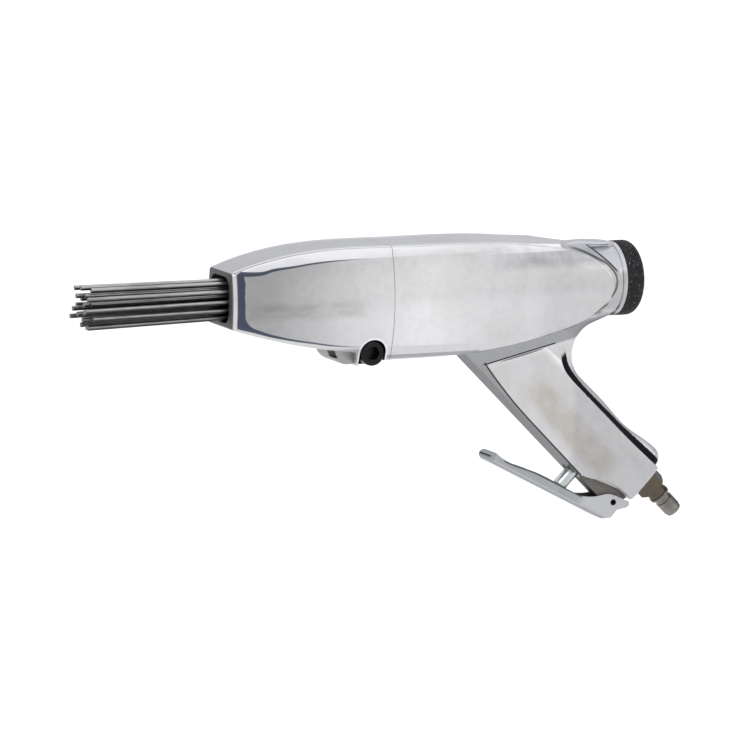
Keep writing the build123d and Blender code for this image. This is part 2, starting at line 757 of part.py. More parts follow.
# ---------------------------------------------------------------- cylinder
with BuildPart() as cylinder:
    with BuildSketch(Plane.XZ):
        barrel_ring(liner_front_x, flange_rear_x, liner_radius, liner_bore)
        barrel_ring(gallery_end_x, flange_rear_x, stack_radius, liner_bore)
    revolve(axis=Axis.X)
    # Exhaust ports, uncovered by the piston as it goes back
    with Locations(Location(((exhaust_start_x + exhaust_end_x) / 2, 0, 0), (0, 90, 0))):
        with PolarLocations(liner_radius, port_count):
            Cylinder(port_radius, 3 * liner_wall, rotation=(0, 90, 0), mode=Mode.SUBTRACT)
    # Seal grooves on the land between exhaust and live air
    with BuildSketch(Plane.XZ):
        for seal_x in seal_places:
            barrel_ring(
                seal_x - oring_groove_width / 2,
                seal_x + oring_groove_width / 2,
                liner_radius + 1,
                liner_radius - oring_thickness,
            )
    revolve(axis=Axis.X, mode=Mode.SUBTRACT)
    # Air notches in the flange's rim, and the dowel's hole
    with Locations(Location((flange_rear_x, 0, 0), (0, 90, 0))):
        with PolarLocations(stack_radius, notch_count):
            Box(2 * notch_depth, notch_width, 4 * flange_thickness, mode=Mode.SUBTRACT)
    with Locations(Location((flange_rear_x, 0, -dowel_circle), (0, 90, 0))):
        Cylinder(dowel_radius + seat_gap, 2 * dowel_sink, mode=Mode.SUBTRACT)
cylinder.part.label = "cylinder"
export_step(cylinder.part, "parts/cylinder.step")

with BuildPart() as cylinder_orings:
    with BuildSketch(Plane.XZ):
        with Locations([(seal_x, liner_radius - oring_thickness / 2) for seal_x in seal_places]):
            Circle(oring_thickness / 2 - seat_gap)
    revolve(axis=Axis.X)
cylinder_orings.part.label = "cylinder_orings"
export_step(cylinder_orings.part, "parts/cylinder_orings.step")

# ---------------------------------------------------------------- automatic valve
with BuildPart() as valve_plate:
    with BuildSketch(Plane.XZ):
        barrel_ring(flange_rear_x, plate_rear_x, stack_radius, valve_throat_radius)
    revolve(axis=Axis.X)
    with Locations(Location((plate_rear_x, 0, 0), (0, 90, 0))):
        with PolarLocations(stack_radius, notch_count):
            Box(2 * notch_depth, notch_width, 4 * plate_thickness, mode=Mode.SUBTRACT)
    with Locations(Location((plate_rear_x, 0, -dowel_circle), (0, 90, 0))):
        Cylinder(dowel_radius + seat_gap, 4 * plate_thickness, mode=Mode.SUBTRACT)
valve_plate.part.label = "valve_plate"
export_step(valve_plate.part, "parts/valve_plate.step")

with BuildPart() as valve_cover:
    with BuildSketch(Plane.XZ):
        barrel_ring(plate_rear_x, cover_rear_x, stack_radius)
    revolve(axis=Axis.X)
    # Pocket for the flutter disc, and the groove round the rim that the notches feed
    with BuildSketch(Plane.XZ):
        barrel_ring(plate_rear_x - 1, plate_rear_x + pocket_depth, disc_radius + loose_gap)
        barrel_ring(
            plate_rear_x + cover_groove_start,
            plate_rear_x + cover_groove_start + cover_groove_width,
            stack_radius + 1,
            stack_radius - notch_depth,
        )
    revolve(axis=Axis.X, mode=Mode.SUBTRACT)
    # Drillings from that groove to behind the disc
    with Locations(Location((feed_drilling_x, 0, 0), (0, 90, 0))):
        with PolarLocations(stack_radius, notch_count):
            Cylinder(
                cover_drilling_radius,
                stack_radius - disc_radius / 2,
                rotation=(0, 90, 0),
                align=(Align.CENTER, Align.CENTER, Align.MAX),
                mode=Mode.SUBTRACT,
            )
        with PolarLocations(disc_radius - 2 * cover_drilling_radius, notch_count):
            Cylinder(
                cover_drilling_radius,
                feed_drilling_x - plate_rear_x,
                align=(Align.CENTER, Align.CENTER, Align.MAX),
                mode=Mode.SUBTRACT,
            )
        with PolarLocations(stack_radius, notch_count):
            Box(
                2 * notch_depth,
                notch_width,
                feed_drilling_x - plate_rear_x + 1,
                align=(Align.CENTER, Align.CENTER, Align.MAX),
                mode=Mode.SUBTRACT,
            )
    with Locations(Location((plate_rear_x, 0, -dowel_circle), (0, 90, 0))):
        Cylinder(dowel_radius + seat_gap, 2 * dowel_sink, mode=Mode.SUBTRACT)
valve_cover.part.label = "valve_cover"
export_step(valve_cover.part, "parts/valve_cover.step")

with BuildPart() as valve_disc:
    with BuildSketch(Plane.XZ):
        barrel_ring(plate_rear_x + seat_gap, plate_rear_x + seat_gap + disc_thickness, disc_radius)
    revolve(axis=Axis.X)
valve_disc.part.label = "valve_disc"
export_step(valve_disc.part, "parts/valve_disc.step")

with BuildPart() as valve_dowel:
    with Locations(Location((flange_rear_x + plate_thickness / 2, 0, -dowel_circle), (0, 90, 0))):
        Cylinder(dowel_radius, plate_thickness + 2 * dowel_sink - loose_gap)
valve_dowel.part.label = "valve_dowel"
export_step(valve_dowel.part, "parts/valve_dowel.step")

with BuildPart() as cushion_ring:
    with BuildSketch(Plane.XZ):
        barrel_ring(cover_rear_x, cap_front_x, stack_radius - loose_gap, cap_bore_radius)
    revolve(axis=Axis.X)
cushion_ring.part.label = "cushion_ring"
export_step(cushion_ring.part, "parts/cushion_ring.step")

# ---------------------------------------------------------------- end cap
with BuildPart() as end_cap:
    with BuildSketch(Plane.XZ):
        barrel_ring(cap_front_x, collar_end_x, thread_bore_radius - seat_gap)
        barrel_ring(collar_end_x, collar_end_x + cap_head_length, cap_head_radius)
    revolve(axis=Axis.X)
    with BuildSketch(Plane.XZ):
        barrel_ring(cap_front_x - 1, cap_front_x + cap_bore_depth, cap_bore_radius)
        barrel_ring(
            cap_seal_x - oring_groove_width / 2,
            cap_seal_x + oring_groove_width / 2,
            thread_bore_radius + 1,
            thread_bore_radius - oring_thickness,
        )
    revolve(axis=Axis.X, mode=Mode.SUBTRACT)
end_cap.part.label = "end_cap"
export_step(end_cap.part, "parts/end_cap.step")

with BuildPart() as cap_oring:
    with BuildSketch(Plane.XZ):
        with Locations((cap_seal_x, thread_bore_radius - oring_thickness / 2)):
            Circle(oring_thickness / 2 - seat_gap)
    revolve(axis=Axis.X)
cap_oring.part.label = "cap_oring"
export_step(cap_oring.part, "parts/cap_oring.step")

with BuildPart() as cap_cover:
    with BuildSketch(Plane.XZ):
        barrel_ring(collar_end_x + loose_gap, cap_rear_x, cover_radius)
    revolve(axis=Axis.X)
    cover_edges = cap_cover.edges().filter_by(GeomType.CIRCLE).sort_by(Axis.X)
    fillet(cover_edges[-1], cover_round)
    fillet(cover_edges[0], loose_gap)
    with BuildSketch(Plane.XZ):
        barrel_ring(collar_end_x - 1, collar_end_x + cap_head_length, cap_head_radius + seat_gap)
    revolve(axis=Axis.X, mode=Mode.SUBTRACT)
cap_cover.part.label = "cap_cover"
export_step(cap_cover.part, "parts/cap_cover.step")

# ---------------------------------------------------------------- striking parts
with BuildPart() as anvil_bush:
    with BuildSketch(Plane.XZ):
        barrel_ring(
            liner_front_x,
            liner_front_x + bush_length,
            liner_bore - seat_gap,
            anvil_shank_radius + running_gap,
        )
    revolve(axis=Axis.X)
anvil_bush.part.label = "anvil_bush"
export_step(anvil_bush.part, "parts/anvil_bush.step")

with BuildPart() as anvil:
    with BuildSketch(Plane.XZ):
        barrel_ring(anvil_front_x, anvil_rear_x, anvil_disc_radius)
        barrel_ring(anvil_rear_x, anvil_rear_x + anvil_shank_length, anvil_shank_radius)
    revolve(axis=Axis.X)
    chamfer(anvil.edges().filter_by(GeomType.CIRCLE).sort_by(Axis.X)[-1], steel_chamfer)
anvil.part.label = "anvil"
export_step(anvil.part, "parts/anvil.step")

with BuildPart() as piston:
    with BuildSketch(Plane.XZ):
        barrel_ring(piston_front_x, piston_front_x + piston_nose_length, anvil_shank_radius)
        barrel_ring(piston_front_x + piston_nose_length, piston_rear_x, liner_bore - running_gap)
    revolve(axis=Axis.X)
    chamfer(piston.edges().filter_by(GeomType.CIRCLE).sort_by(Axis.X)[-1], steel_chamfer)
    # Shallow grooves that hold oil
    with BuildSketch(Plane.XZ):
        for groove in range(1, piston_grooves + 1):
            groove_x = piston_front_x + groove * piston_length / (piston_grooves + 1)
            barrel_ring(
                groove_x - piston_groove_width / 2,
                groove_x + piston_groove_width / 2,
                liner_bore,
                liner_bore - piston_groove_width / 2,
            )
    revolve(axis=Axis.X, mode=Mode.SUBTRACT)
piston.part.label = "piston"
export_step(piston.part, "parts/piston.step")


# ---------------------------------------------------------------- needles and their holder
def needle_places():
    """Holder position (y, z), slope (y, z) and extra length of every needle."""
    places = []
    for count, radius in zip(ring_counts, ring_radii):
        for turn in range(count):
            angle = 2 * pi * turn / count + radius
            order = len(places)
            spread_y = needle_splay * radius * cos(angle) + needle_wander * sin(2.4 * order)
            spread_z = needle_splay * radius * sin(angle) + needle_wander * cos(3.7 * order)
            tip = needle_stagger * sin(1.9 * order)
            places.append((radius * cos(angle), radius * sin(angle), spread_y, spread_z - needle_droop, tip))
    return places


with BuildPart() as needle_holder:
    with BuildSketch(Plane.XZ):
        barrel_ring(holder_front_x, holder_rear_x, chamber_radius - 2 * running_gap)
    revolve(axis=Axis.X)
    chamfer(needle_holder.edges().filter_by(GeomType.CIRCLE), holder_chamfer)
    with BuildSketch(Plane.YZ.offset(holder_front_x - 1)):
        with Locations([(place[0], place[1]) for place in needle_places()]):
            Circle(needle_diameter / 2 + needle_hole_gap)
    extrude(amount=holder_thickness + 2, mode=Mode.SUBTRACT)
needle_holder.part.label = "needle_holder"
export_step(needle_holder.part, "parts/needle_holder.step")

with BuildPart() as needles:
    for place_y, place_z, slope_y, slope_z, tip in needle_places():
        needle_seat = Plane(
            origin=(
                holder_rear_x + needle_seat_lift,
                place_y - slope_y * holder_thickness / 2,
                place_z - slope_z * holder_thickness / 2,
            ),
            x_dir=(slope_y, 1, 0),
            z_dir=(-1, slope_y, slope_z),
        )
        with BuildSketch(needle_seat):
            Circle(needle_diameter / 2)
        extrude(amount=needle_length - needle_head_thickness + tip)
        with BuildSketch(needle_seat):
            Circle(needle_head_diameter / 2)
        extrude(amount=-needle_head_thickness)
needles.part.label = "needles"
export_step(needles.part, "parts/needles.step")

with BuildPart() as holder_spring:
    with BuildLine() as holder_coil:
        Helix(
            holder_coil_length / holder_spring_turns,
            holder_coil_length,
            holder_coil_radius,
            center=(holder_coil_start_x, 0, 0),
            direction=(1, 0, 0),
        )
    with BuildSketch(Plane(origin=holder_coil.line @ 0, z_dir=holder_coil.line % 0)):
        Circle(holder_spring_wire / 2)
    sweep()
holder_spring.part.label = "holder_spring"
export_step(holder_spring.part, "parts/holder_spring.step")

# ---------------------------------------------------------------- throttle
with BuildPart() as throttle_plunger:
    with BuildSketch(grip_side):
        grip_ring(plunger_tip, collar_rear, plunger_radius)
        grip_ring(collar_front, collar_rear, plunger_collar_radius)
        grip_ring(collar_rear, seat_rear - seat_gap, plunger_stem_radius)
    revolve(axis=valve_axis)
    fillet(throttle_plunger.edges().filter_by(GeomType.CIRCLE).sort_by(valve_axis)[0], plunger_tip_round)
throttle_plunger.part.label = "throttle_plunger"
export_step(throttle_plunger.part, "parts/throttle_plunger.step")

with BuildPart() as plunger_guide:
    with BuildSketch(grip_side):
        grip_ring(guide_inset, guide_inset + guide_length, guide_radius, plunger_radius + running_gap)
    revolve(axis=valve_axis)
    with BuildSketch(grip_side):
        grip_ring(
            plunger_seal_depth - plunger_seal_groove / 2,
            plunger_seal_depth + plunger_seal_groove / 2,
            plunger_radius + plunger_seal_groove,
        )
    revolve(axis=valve_axis, mode=Mode.SUBTRACT)
plunger_guide.part.label = "plunger_guide"
export_step(plunger_guide.part, "parts/plunger_guide.step")

with BuildPart() as plunger_oring:
    with BuildSketch(grip_side):
        seal_radius = plunger_seal_thickness / 2
        with Locations((valve_along + plunger_radius + 2 * running_gap + seal_radius, plunger_seal_depth)):
            Circle(seal_radius)
    revolve(axis=valve_axis)
plunger_oring.part.label = "plunger_oring"
export_step(plunger_oring.part, "parts/plunger_oring.step")

with BuildPart() as valve_seat:
    with BuildSketch(grip_side):
        grip_ring(seat_front, seat_rear, guide_radius, seat_hole_radius)
    revolve(axis=valve_axis)
valve_seat.part.label = "valve_seat"
export_step(valve_seat.part, "parts/valve_seat.step")

with BuildPart() as valve_face:
    with BuildSketch(grip_side):
        grip_ring(seat_rear + seat_gap, face_rear, poppet_radius - loose_gap, poppet_boss_radius + seat_gap)
    revolve(axis=valve_axis)
valve_face.part.label = "valve_face"
export_step(valve_face.part, "parts/valve_face.step")

with BuildPart() as throttle_valve:
    with BuildSketch(grip_side):
        grip_ring(seat_rear + seat_gap, face_rear, poppet_boss_radius)
        grip_ring(face_rear, poppet_rear, poppet_radius)
        grip_ring(poppet_rear, poppet_rear + poppet_stub_length, poppet_boss_radius)
    revolve(axis=valve_axis)
throttle_valve.part.label = "throttle_valve"
export_step(throttle_valve.part, "parts/throttle_valve.step")

with BuildPart() as throttle_spring:
    with BuildLine() as throttle_coil:
        Helix(
            throttle_coil_length / throttle_spring_turns,
            throttle_coil_length,
            throttle_coil_radius,
            center=grip_point(valve_along, throttle_coil_start),
            direction=valve_axis.direction,
        )
    with BuildSketch(Plane(origin=throttle_coil.line @ 0, z_dir=throttle_coil.line % 0)):
        Circle(throttle_spring_wire / 2)
    sweep()
throttle_spring.part.label = "throttle_spring"
export_step(throttle_spring.part, "parts/throttle_spring.step")

# ---------------------------------------------------------------- lever
with BuildPart() as throttle_lever:
    with BuildSketch(lever_side.offset(-lever_half_width)):
        with BuildLine():
            tip_low = (lever_reach - 2.0, -lever_floor_drop)
            tip_high = (lever_reach - 3.0, lever_tip_height)
            brow = (lever_reach - lever_tip_solid, lever_tip_height - 1.5)
            saddle = (lever_saddle, lever_saddle_height)
            heel_high = (lever_heel, lever_cheek_height + 0.6)
            heel_low = (lever_heel + 5.5, pivot_depth - 7.6)
            ThreePointArc(tip_low, (lever_reach, -lever_floor_drop + 2.6), tip_high)
            Spline(
                tip_high,
                brow,
                (lever_reach * 0.65, lever_saddle_height + 0.3),
                (lever_reach * 0.38, lever_saddle_height + 0.2),
                saddle,
            )
            Spline(
                saddle,
                (lever_saddle - 6.0, lever_saddle_height + 1.7),
                (lever_saddle / 2, lever_saddle_height / 6),
                (lever_saddle / 4, lever_cheek_height - 1.4),
                (-lever_pin_radius, lever_cheek_height),
                heel_high,
            )
            Polyline(heel_high, (lever_heel - 1.0, lever_heel_step), (lever_heel, 0.8), heel_low, (-3.2, -9.4))
            Line((-3.2, -9.4), (lever_pin_radius, -lever_floor_drop))
            Line((lever_pin_radius, -lever_floor_drop), tip_low)
        make_face()
    extrude(amount=2 * lever_half_width)
    under_edges = throttle_lever.edges().filter_by(
        lambda e: lever_side.to_local_coords(e @ 0.5).Y < 0.4 - lever_floor_drop and e.length > lever_reach / 2
    )
    fillet(under_edges, lever_edge_round)
    # Channel: open towards the grip and at the pivot end, closed before the tip
    with BuildSketch(lever_side.offset(lever_wall - lever_half_width)):
        with Locations((lever_reach - lever_tip_solid, -lever_floor)):
            Rectangle(2 * lever_reach, 2 * lever_floor_drop, align=(Align.MAX, Align.MIN))
    extrude(amount=2 * (lever_half_width - lever_wall), mode=Mode.SUBTRACT)
    # Pin holes through both cheeks
    with BuildSketch(Plane.XZ.offset(-2 * lever_half_width)):
        with Locations((pivot.X, pivot.Z)):
            Circle(lever_pin_radius + running_gap)
    extrude(amount=4 * lever_half_width, mode=Mode.SUBTRACT)
throttle_lever.part.label = "throttle_lever"
export_step(throttle_lever.part, "parts/throttle_lever.step")

# Slotted spring pin
with BuildPart() as lever_pin:
    with BuildSketch(Plane.XZ.offset(lever_pin_inset - lever_half_width)):
        with Locations((pivot.X, pivot.Z)):
            Circle(lever_pin_radius)
            Circle(lever_pin_radius - lever_pin_wall, mode=Mode.SUBTRACT)
        with Locations((pivot.X + lever_pin_radius, pivot.Z)):
            Rectangle(2 * lever_pin_wall + 1, lever_pin_wall / 2, mode=Mode.SUBTRACT)
    extrude(amount=2 * (lever_half_width - lever_pin_inset))
lever_pin.part.label = "lever_pin"
export_step(lever_pin.part, "parts/lever_pin.step")

# ---------------------------------------------------------------- air inlet
with BuildPart() as inlet_washer:
    with BuildSketch(grip_side):
        inlet_ring(grip_length, hex_start, washer_radius, inlet_thread_radius)
    revolve(axis=inlet_axis)
inlet_washer.part.label = "inlet_washer"
export_step(inlet_washer.part, "parts/inlet_washer.step")

with BuildPart() as inlet_plug:
    hex_plane = Plane(
        origin=grip_point(hex_start, inlet_depth),
        x_dir=valve_axis.direction,
        z_dir=inlet_axis.direction,
    )
    with BuildSketch(hex_plane):
        RegularPolygon(plug_flats / 2, 6, major_radius=False)
    extrude(amount=plug_hex_length)
    # Corners of the hexagon are turned off at both ends
    with BuildSketch(grip_side):
        with BuildLine():
            corner_radius = plug_flats / sqrt(3)
            Polyline(
                (hex_start, inlet_depth),
                (hex_start, inlet_depth + plug_flats / 2),
                (hex_start + hex_turning, inlet_depth + corner_radius),
                (hex_end - hex_turning, inlet_depth + corner_radius),
                (hex_end, inlet_depth + plug_flats / 2),
                (hex_end, inlet_depth),
                close=True,
            )
        make_face()
    revolve(axis=inlet_axis, mode=Mode.INTERSECT)
    with BuildSketch(grip_side):
        inlet_ring(thread_end + loose_gap, hex_start, inlet_thread_radius - seat_gap)
        inlet_ring(hex_end, shoulder_end, plug_shoulder_radius)
        inlet_ring(shoulder_end, ring_end, plug_ring_radius)
        inlet_ring(ring_end, groove_end, plug_groove_radius)
        inlet_ring(groove_end, barrel_end, plug_barrel_radius)
        inlet_ring(barrel_end, plug_end, plug_tip_radius)
    revolve(axis=inlet_axis)
    with BuildSketch(grip_side):
        inlet_ring(thread_end, plug_end + 1, plug_bore_radius)
    revolve(axis=inlet_axis, mode=Mode.SUBTRACT)
inlet_plug.part.label = "inlet_plug"
export_step(inlet_plug.part, "parts/inlet_plug.step")

with BuildPart() as inlet_filter:
    with BuildSketch(grip_side):
        inlet_ring(thread_end - filter_length, thread_end, inlet_passage_radius - seat_gap)
    revolve(axis=inlet_axis)
    with BuildSketch(grip_side):
        inlet_ring(
            thread_end - filter_length + filter_wall,
            thread_end + 1,
            inlet_passage_radius - filter_wall,
        )
    revolve(axis=inlet_axis, mode=Mode.SUBTRACT)
inlet_filter.part.label = "inlet_filter"
export_step(inlet_filter.part, "parts/inlet_filter.step")
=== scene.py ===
import json
import math

import bpy
from bpy.props import FloatProperty, FloatVectorProperty, PointerProperty
from mathutils import Matrix, Vector


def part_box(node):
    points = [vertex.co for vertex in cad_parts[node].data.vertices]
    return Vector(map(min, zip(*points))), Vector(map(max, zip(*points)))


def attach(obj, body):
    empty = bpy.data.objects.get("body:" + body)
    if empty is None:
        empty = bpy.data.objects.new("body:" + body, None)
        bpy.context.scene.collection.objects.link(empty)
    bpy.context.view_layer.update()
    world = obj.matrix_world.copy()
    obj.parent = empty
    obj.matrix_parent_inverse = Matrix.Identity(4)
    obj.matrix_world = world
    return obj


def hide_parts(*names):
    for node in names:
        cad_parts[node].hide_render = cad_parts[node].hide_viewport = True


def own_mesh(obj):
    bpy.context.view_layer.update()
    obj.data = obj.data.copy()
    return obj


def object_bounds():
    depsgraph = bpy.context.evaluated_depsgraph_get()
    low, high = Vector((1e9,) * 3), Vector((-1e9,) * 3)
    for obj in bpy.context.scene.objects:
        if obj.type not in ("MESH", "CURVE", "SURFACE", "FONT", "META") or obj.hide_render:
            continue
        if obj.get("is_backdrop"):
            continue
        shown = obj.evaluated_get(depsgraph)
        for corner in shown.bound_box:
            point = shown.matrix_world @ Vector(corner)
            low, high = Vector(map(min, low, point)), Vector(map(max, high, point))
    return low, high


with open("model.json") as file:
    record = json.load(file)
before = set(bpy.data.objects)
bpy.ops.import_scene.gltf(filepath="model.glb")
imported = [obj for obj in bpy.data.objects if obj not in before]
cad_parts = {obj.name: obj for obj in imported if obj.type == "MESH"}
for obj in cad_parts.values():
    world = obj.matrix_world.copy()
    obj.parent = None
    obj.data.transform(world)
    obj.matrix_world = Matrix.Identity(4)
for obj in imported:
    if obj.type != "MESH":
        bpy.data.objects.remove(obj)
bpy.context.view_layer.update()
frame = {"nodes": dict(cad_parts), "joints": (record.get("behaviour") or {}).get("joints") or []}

bl_info = {
    "name": "Needle Scaler",
    "version": (1, 0, 0),
    "blender": (4, 5, 0),
    "location": "View3D > Sidebar > Scaler",
    "description": "Dresses the packed pistol-grip needle scaler and sets it in a plain studio",
    "category": "Object",
}

nodes = frame["nodes"]
joints = {joint["name"]: joint for joint in frame["joints"]}

MM = 0.001
parting_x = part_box("front_case")[1].x
grip_angle = math.radians(45)
lever_angle = math.radians(27.7)
# The line down the front of the grip meets the barrel's underside here.
grip_top = Vector((160, 0, -38.5)) * MM
lever_pivot = Vector(joints["lever_hinge"]["pos_m"])
bolt_low, bolt_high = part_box("clamp_bolt")
bolt_place = (bolt_low + bolt_high) / 2


# ------------------------------------------------------------------ settings
def colour_setting(name, description, default):
    return FloatVectorProperty(
        name=name, description=description, subtype="COLOR", size=3, min=0, max=1, default=default
    )


class ScalerSettings(bpy.types.PropertyGroup):
    casting_colour: colour_setting(
        "Casting", "Polished aluminium of the body and the front case", (0.665, 0.66, 0.665)
    )
    stain_colour: colour_setting(
        "Stain", "Warm tint where hands have worn and stained the casting", (0.49, 0.455, 0.41)
    )
    # Near-black used for painted shade in grooves, creases and the bolt's pocket, and for the joint at
    # the split
    shade_and_joint_colour: colour_setting(
        "Residue", "Black polishing compound left in corners and grooves", (0.007, 0.008, 0.010)
    )
    casting_roughness: FloatProperty(
        name="Casting roughness", description="How blurred the casting's reflections are",
        min=0.05, max=1, default=0.17,
    )
    lever_colour: colour_setting(
        "Lever", "Tumbled aluminium of the throttle lever", (0.50, 0.51, 0.525)
    )
    needle_colour: colour_setting("Needles", "Dull steel of the needles", (0.54, 0.54, 0.53))
    # Painted shade: the needles' undersides are painted this dark
    needle_shade_colour: colour_setting(
        "Oiled steel", "Dark film of oil and dust on the needles' undersides", (0.03, 0.03, 0.03)
    )
    rubber_colour: colour_setting(
        "Cap rubber", "Rubber cover of the end cap", (0.012, 0.012, 0.013)
    )
    plug_colour: colour_setting("Air plug", "Tarnished nickel of the air plug", (0.271, 0.262, 0.242))
    hexagon_colour: colour_setting(
        "Plug hexagon", "Browned nickel of the plug's hexagon", (0.120, 0.099, 0.075)
    )
    floor_colour: colour_setting("Floor", "Plain floor under the tool", (0.93, 0.93, 0.93))
    floor_drop: FloatProperty(
        name="Floor drop", description="Height of the tool's lowest point above the floor",
        unit="LENGTH", min=0, max=1, default=0.14,
    )


# ------------------------------------------------------------------ node helpers
def link(tree, source, socket):
    tree.links.new(source, socket)


def put(tree, kind, inputs=None, **settings):
    """Adds a node, sets its options, and feeds its inputs with values or with other sockets."""
    node = tree.nodes.new(kind)
    for name, value in settings.items():
        setattr(node, name, value)
    for key, value in (inputs or {}).items():
        if isinstance(value, bpy.types.NodeSocket):
            link(tree, value, node.inputs[key])
        else:
            node.inputs[key].default_value = value
    return node


def calc(tree, operation, a, b=0.0, c=0.0, clamp=False):
    """One Math node."""
    inputs = {0: a, 1: b, 2: c}
    return put(tree, "ShaderNodeMath", inputs, operation=operation, use_clamp=clamp).outputs[0]


def scale_add(tree, value, factor, base, clamp=False):
    """value * factor + base"""
    return calc(tree, "MULTIPLY_ADD", value, factor, base, clamp)


def product(tree, *factors):
    """All the factors multiplied together; for masks, where all of them hold."""
    result = factors[0]
    for factor in factors[1:]:
        result = calc(tree, "MULTIPLY", result, factor)
    return result


def largest(tree, *values):
    """The largest value; for masks, where any of them holds."""
    result = values[0]
    for value in values[1:]:
        result = calc(tree, "MAXIMUM", result, value)
    return result


def ramp_up(tree, value, start, end):
    """0 below start, 1 above end, smooth between; start above end turns it round."""
    return put(
        tree, "ShaderNodeMapRange", {"Value": value, "From Min": start, "From Max": end},
        interpolation_type="SMOOTHSTEP", clamp=True,
    ).outputs["Result"]


def band(tree, value, low, high, soft):
    """1 between low and high, fading over soft on both sides."""
    return product(
        tree, ramp_up(tree, value, low - soft, low), ramp_up(tree, value, high + soft, high)
    )


def corner_reach(tree, a, b):
    """How far a place is from a corner, from its two distances."""
    return calc(tree, "POWER", scale_add(tree, a, a, product(tree, b, b)), 0.5)


def blend_colour(tree, factor, a, b, mode="MIX"):
    """Colour a, turning into b as the factor rises."""
    node = tree.nodes.new("ShaderNodeMix")
    node.data_type = "RGBA"
    node.blend_type = mode
    for socket, value in ((node.inputs[0], factor), (node.inputs[6], a), (node.inputs[7], b)):
        if isinstance(value, bpy.types.NodeSocket):
            link(tree, value, socket)
        elif isinstance(value, (int, float)):
            socket.default_value = value
        else:
            socket.default_value = (*value[:3], 1)
    return node.outputs[2]


def shade(tree, factor, colour, tint):
    """The colour, darkened by the tint as the factor rises."""
    return blend_colour(tree, factor, colour, tint, "MULTIPLY")


def noise(tree, place, scale, detail=3.0, rough=0.55, distort=0.0):
    """Noise of a size in millimetres: place is in millimetres, scale is features per millimetre."""
    return put(
        tree, "ShaderNodeTexNoise",
        {"Vector": place, "Scale": scale, "Detail": detail, "Roughness": rough, "Distortion": distort},
    ).outputs["Fac"]


def curve(tree, value, points):
    """A smooth curve through points whose two numbers both run from 0 to 1."""
    node = put(tree, "ShaderNodeFloatCurve", {"Value": value})
    line = node.mapping.curves[0]
    line.points[0].location = points[0]
    line.points[1].location = points[-1]
    for point in points[1:-1]:
        line.points.new(*point)
    node.mapping.update()
    return node.outputs[0]


def new_material(name, diffuse):
    material = bpy.data.materials.new(name)
    material.use_nodes = True
    material.diffuse_color = (*diffuse, 1)
    tree = material.node_tree
    shader = tree.nodes["Principled BSDF"]
    return material, tree, shader


def millimetres(tree):
    """Object coordinates in millimetres."""
    metres = tree.nodes.new("ShaderNodeTexCoord").outputs["Object"]
    return put(
        tree, "ShaderNodeVectorMath", {0: metres, 1: (1 / MM,) * 3}, operation="MULTIPLY"
    ).outputs[0]


def facing(tree):
    """The three parts of the direction that the surface faces, on the object's own axes."""
    direction = tree.nodes.new("ShaderNodeTexCoord").outputs["Normal"]
    return put(tree, "ShaderNodeSeparateXYZ", {0: direction}).outputs


def add_bump(tree, shader, height, strength=0.6, distance=MM):
    bump = put(
        tree, "ShaderNodeBump", {"Height": height, "Strength": strength, "Distance": distance}
    )
    link(tree, bump.outputs[0], shader.inputs["Normal"])


def finish_metal(tree, shader, marks, smoothest, spread):
    """A bare metal whose rubbing marks spread its roughness, with a slightly uneven skin."""
    rough = scale_add(tree, marks["Rub"], spread, smoothest, clamp=True)
    link(tree, rough, shader.inputs["Roughness"])
    shader.inputs["Metallic"].default_value = 1.0
    rubbed = product(tree, marks["Rub"], 0.03)
    add_bump(tree, shader, scale_add(tree, marks["Wave"], 0.6, rubbed))


def apply_material(names, material):
    for name in names:
        data = nodes[name].data
        data.materials.clear()
        data.materials.append(material)


# ------------------------------------------------------------------ shared effects
def group_shell(name, ins, outs):
    """An empty node group with its sockets; gives back the group and its two ends."""
    group = bpy.data.node_groups.new(name, "ShaderNodeTree")
    for label, kind, default in ins:
        socket = group.interface.new_socket(name=label, in_out="INPUT", socket_type=kind)
        if default is not None:
            socket.default_value = default
    for label in outs:
        group.interface.new_socket(name=label, in_out="OUTPUT", socket_type="NodeSocketFloat")
    entry = group.nodes.new("NodeGroupInput")
    exit_node = group.nodes.new("NodeGroupOutput")
    return group, entry.outputs, exit_node.inputs


def make_handling_group():
    """Soft stains, small specks and fine rubbing marks; Place is in millimetres."""
    group, given, out = group_shell(
        "Handling marks",
        [
            ("Place", "NodeSocketVector", None),
            ("Stain size", "NodeSocketFloat", 0.02),
            ("Scratch size", "NodeSocketFloat", 1.0),
        ],
        ["Stain", "Speck", "Rub", "Wave"],
    )
    broad = noise(group, given["Place"], given["Stain size"], 3, 0.5, 0.6)
    link(group, ramp_up(group, broad, 0.42, 0.72), out["Stain"])
    fine = noise(group, given["Place"], 0.55, 2, 0.6)
    link(group, ramp_up(group, fine, 0.68, 0.78), out["Speck"])
    # The rubbing marks are drawn out along the barrel
    stretched = put(
        group, "ShaderNodeVectorMath", {0: given["Place"], 1: (0.12, 1.0, 1.0)},
        operation="MULTIPLY",
    ).outputs[0]
    link(group, noise(group, stretched, given["Scratch size"], 4, 0.65), out["Rub"])
    link(group, noise(group, given["Place"], 0.045, 1, 0.4), out["Wave"])
    return group


def make_grip_group():
    """Turns a place in millimetres into distances down the grip and back through it."""
    group, given, out = group_shell(
        "Grip place", [("Place", "NodeSocketVector", None)], ["Along", "Depth", "Side"]
    )
    from_top = put(
        group, "ShaderNodeMapping", {"Vector": given["Place"], "Location": tuple(-grip_top / MM)},
        vector_type="POINT",
    ).outputs[0]
    parts = put(group, "ShaderNodeSeparateXYZ", {0: from_top}).outputs
    cosine, sine = math.cos(grip_angle), math.sin(grip_angle)
    along = scale_add(group, parts["X"], cosine, product(group, parts["Z"], -sine))
    depth = scale_add(group, parts["X"], sine, product(group, parts["Z"], cosine))
    link(group, along, out["Along"])
    link(group, depth, out["Depth"])
    link(group, calc(group, "ABSOLUTE", parts["Y"]), out["Side"])
    return group


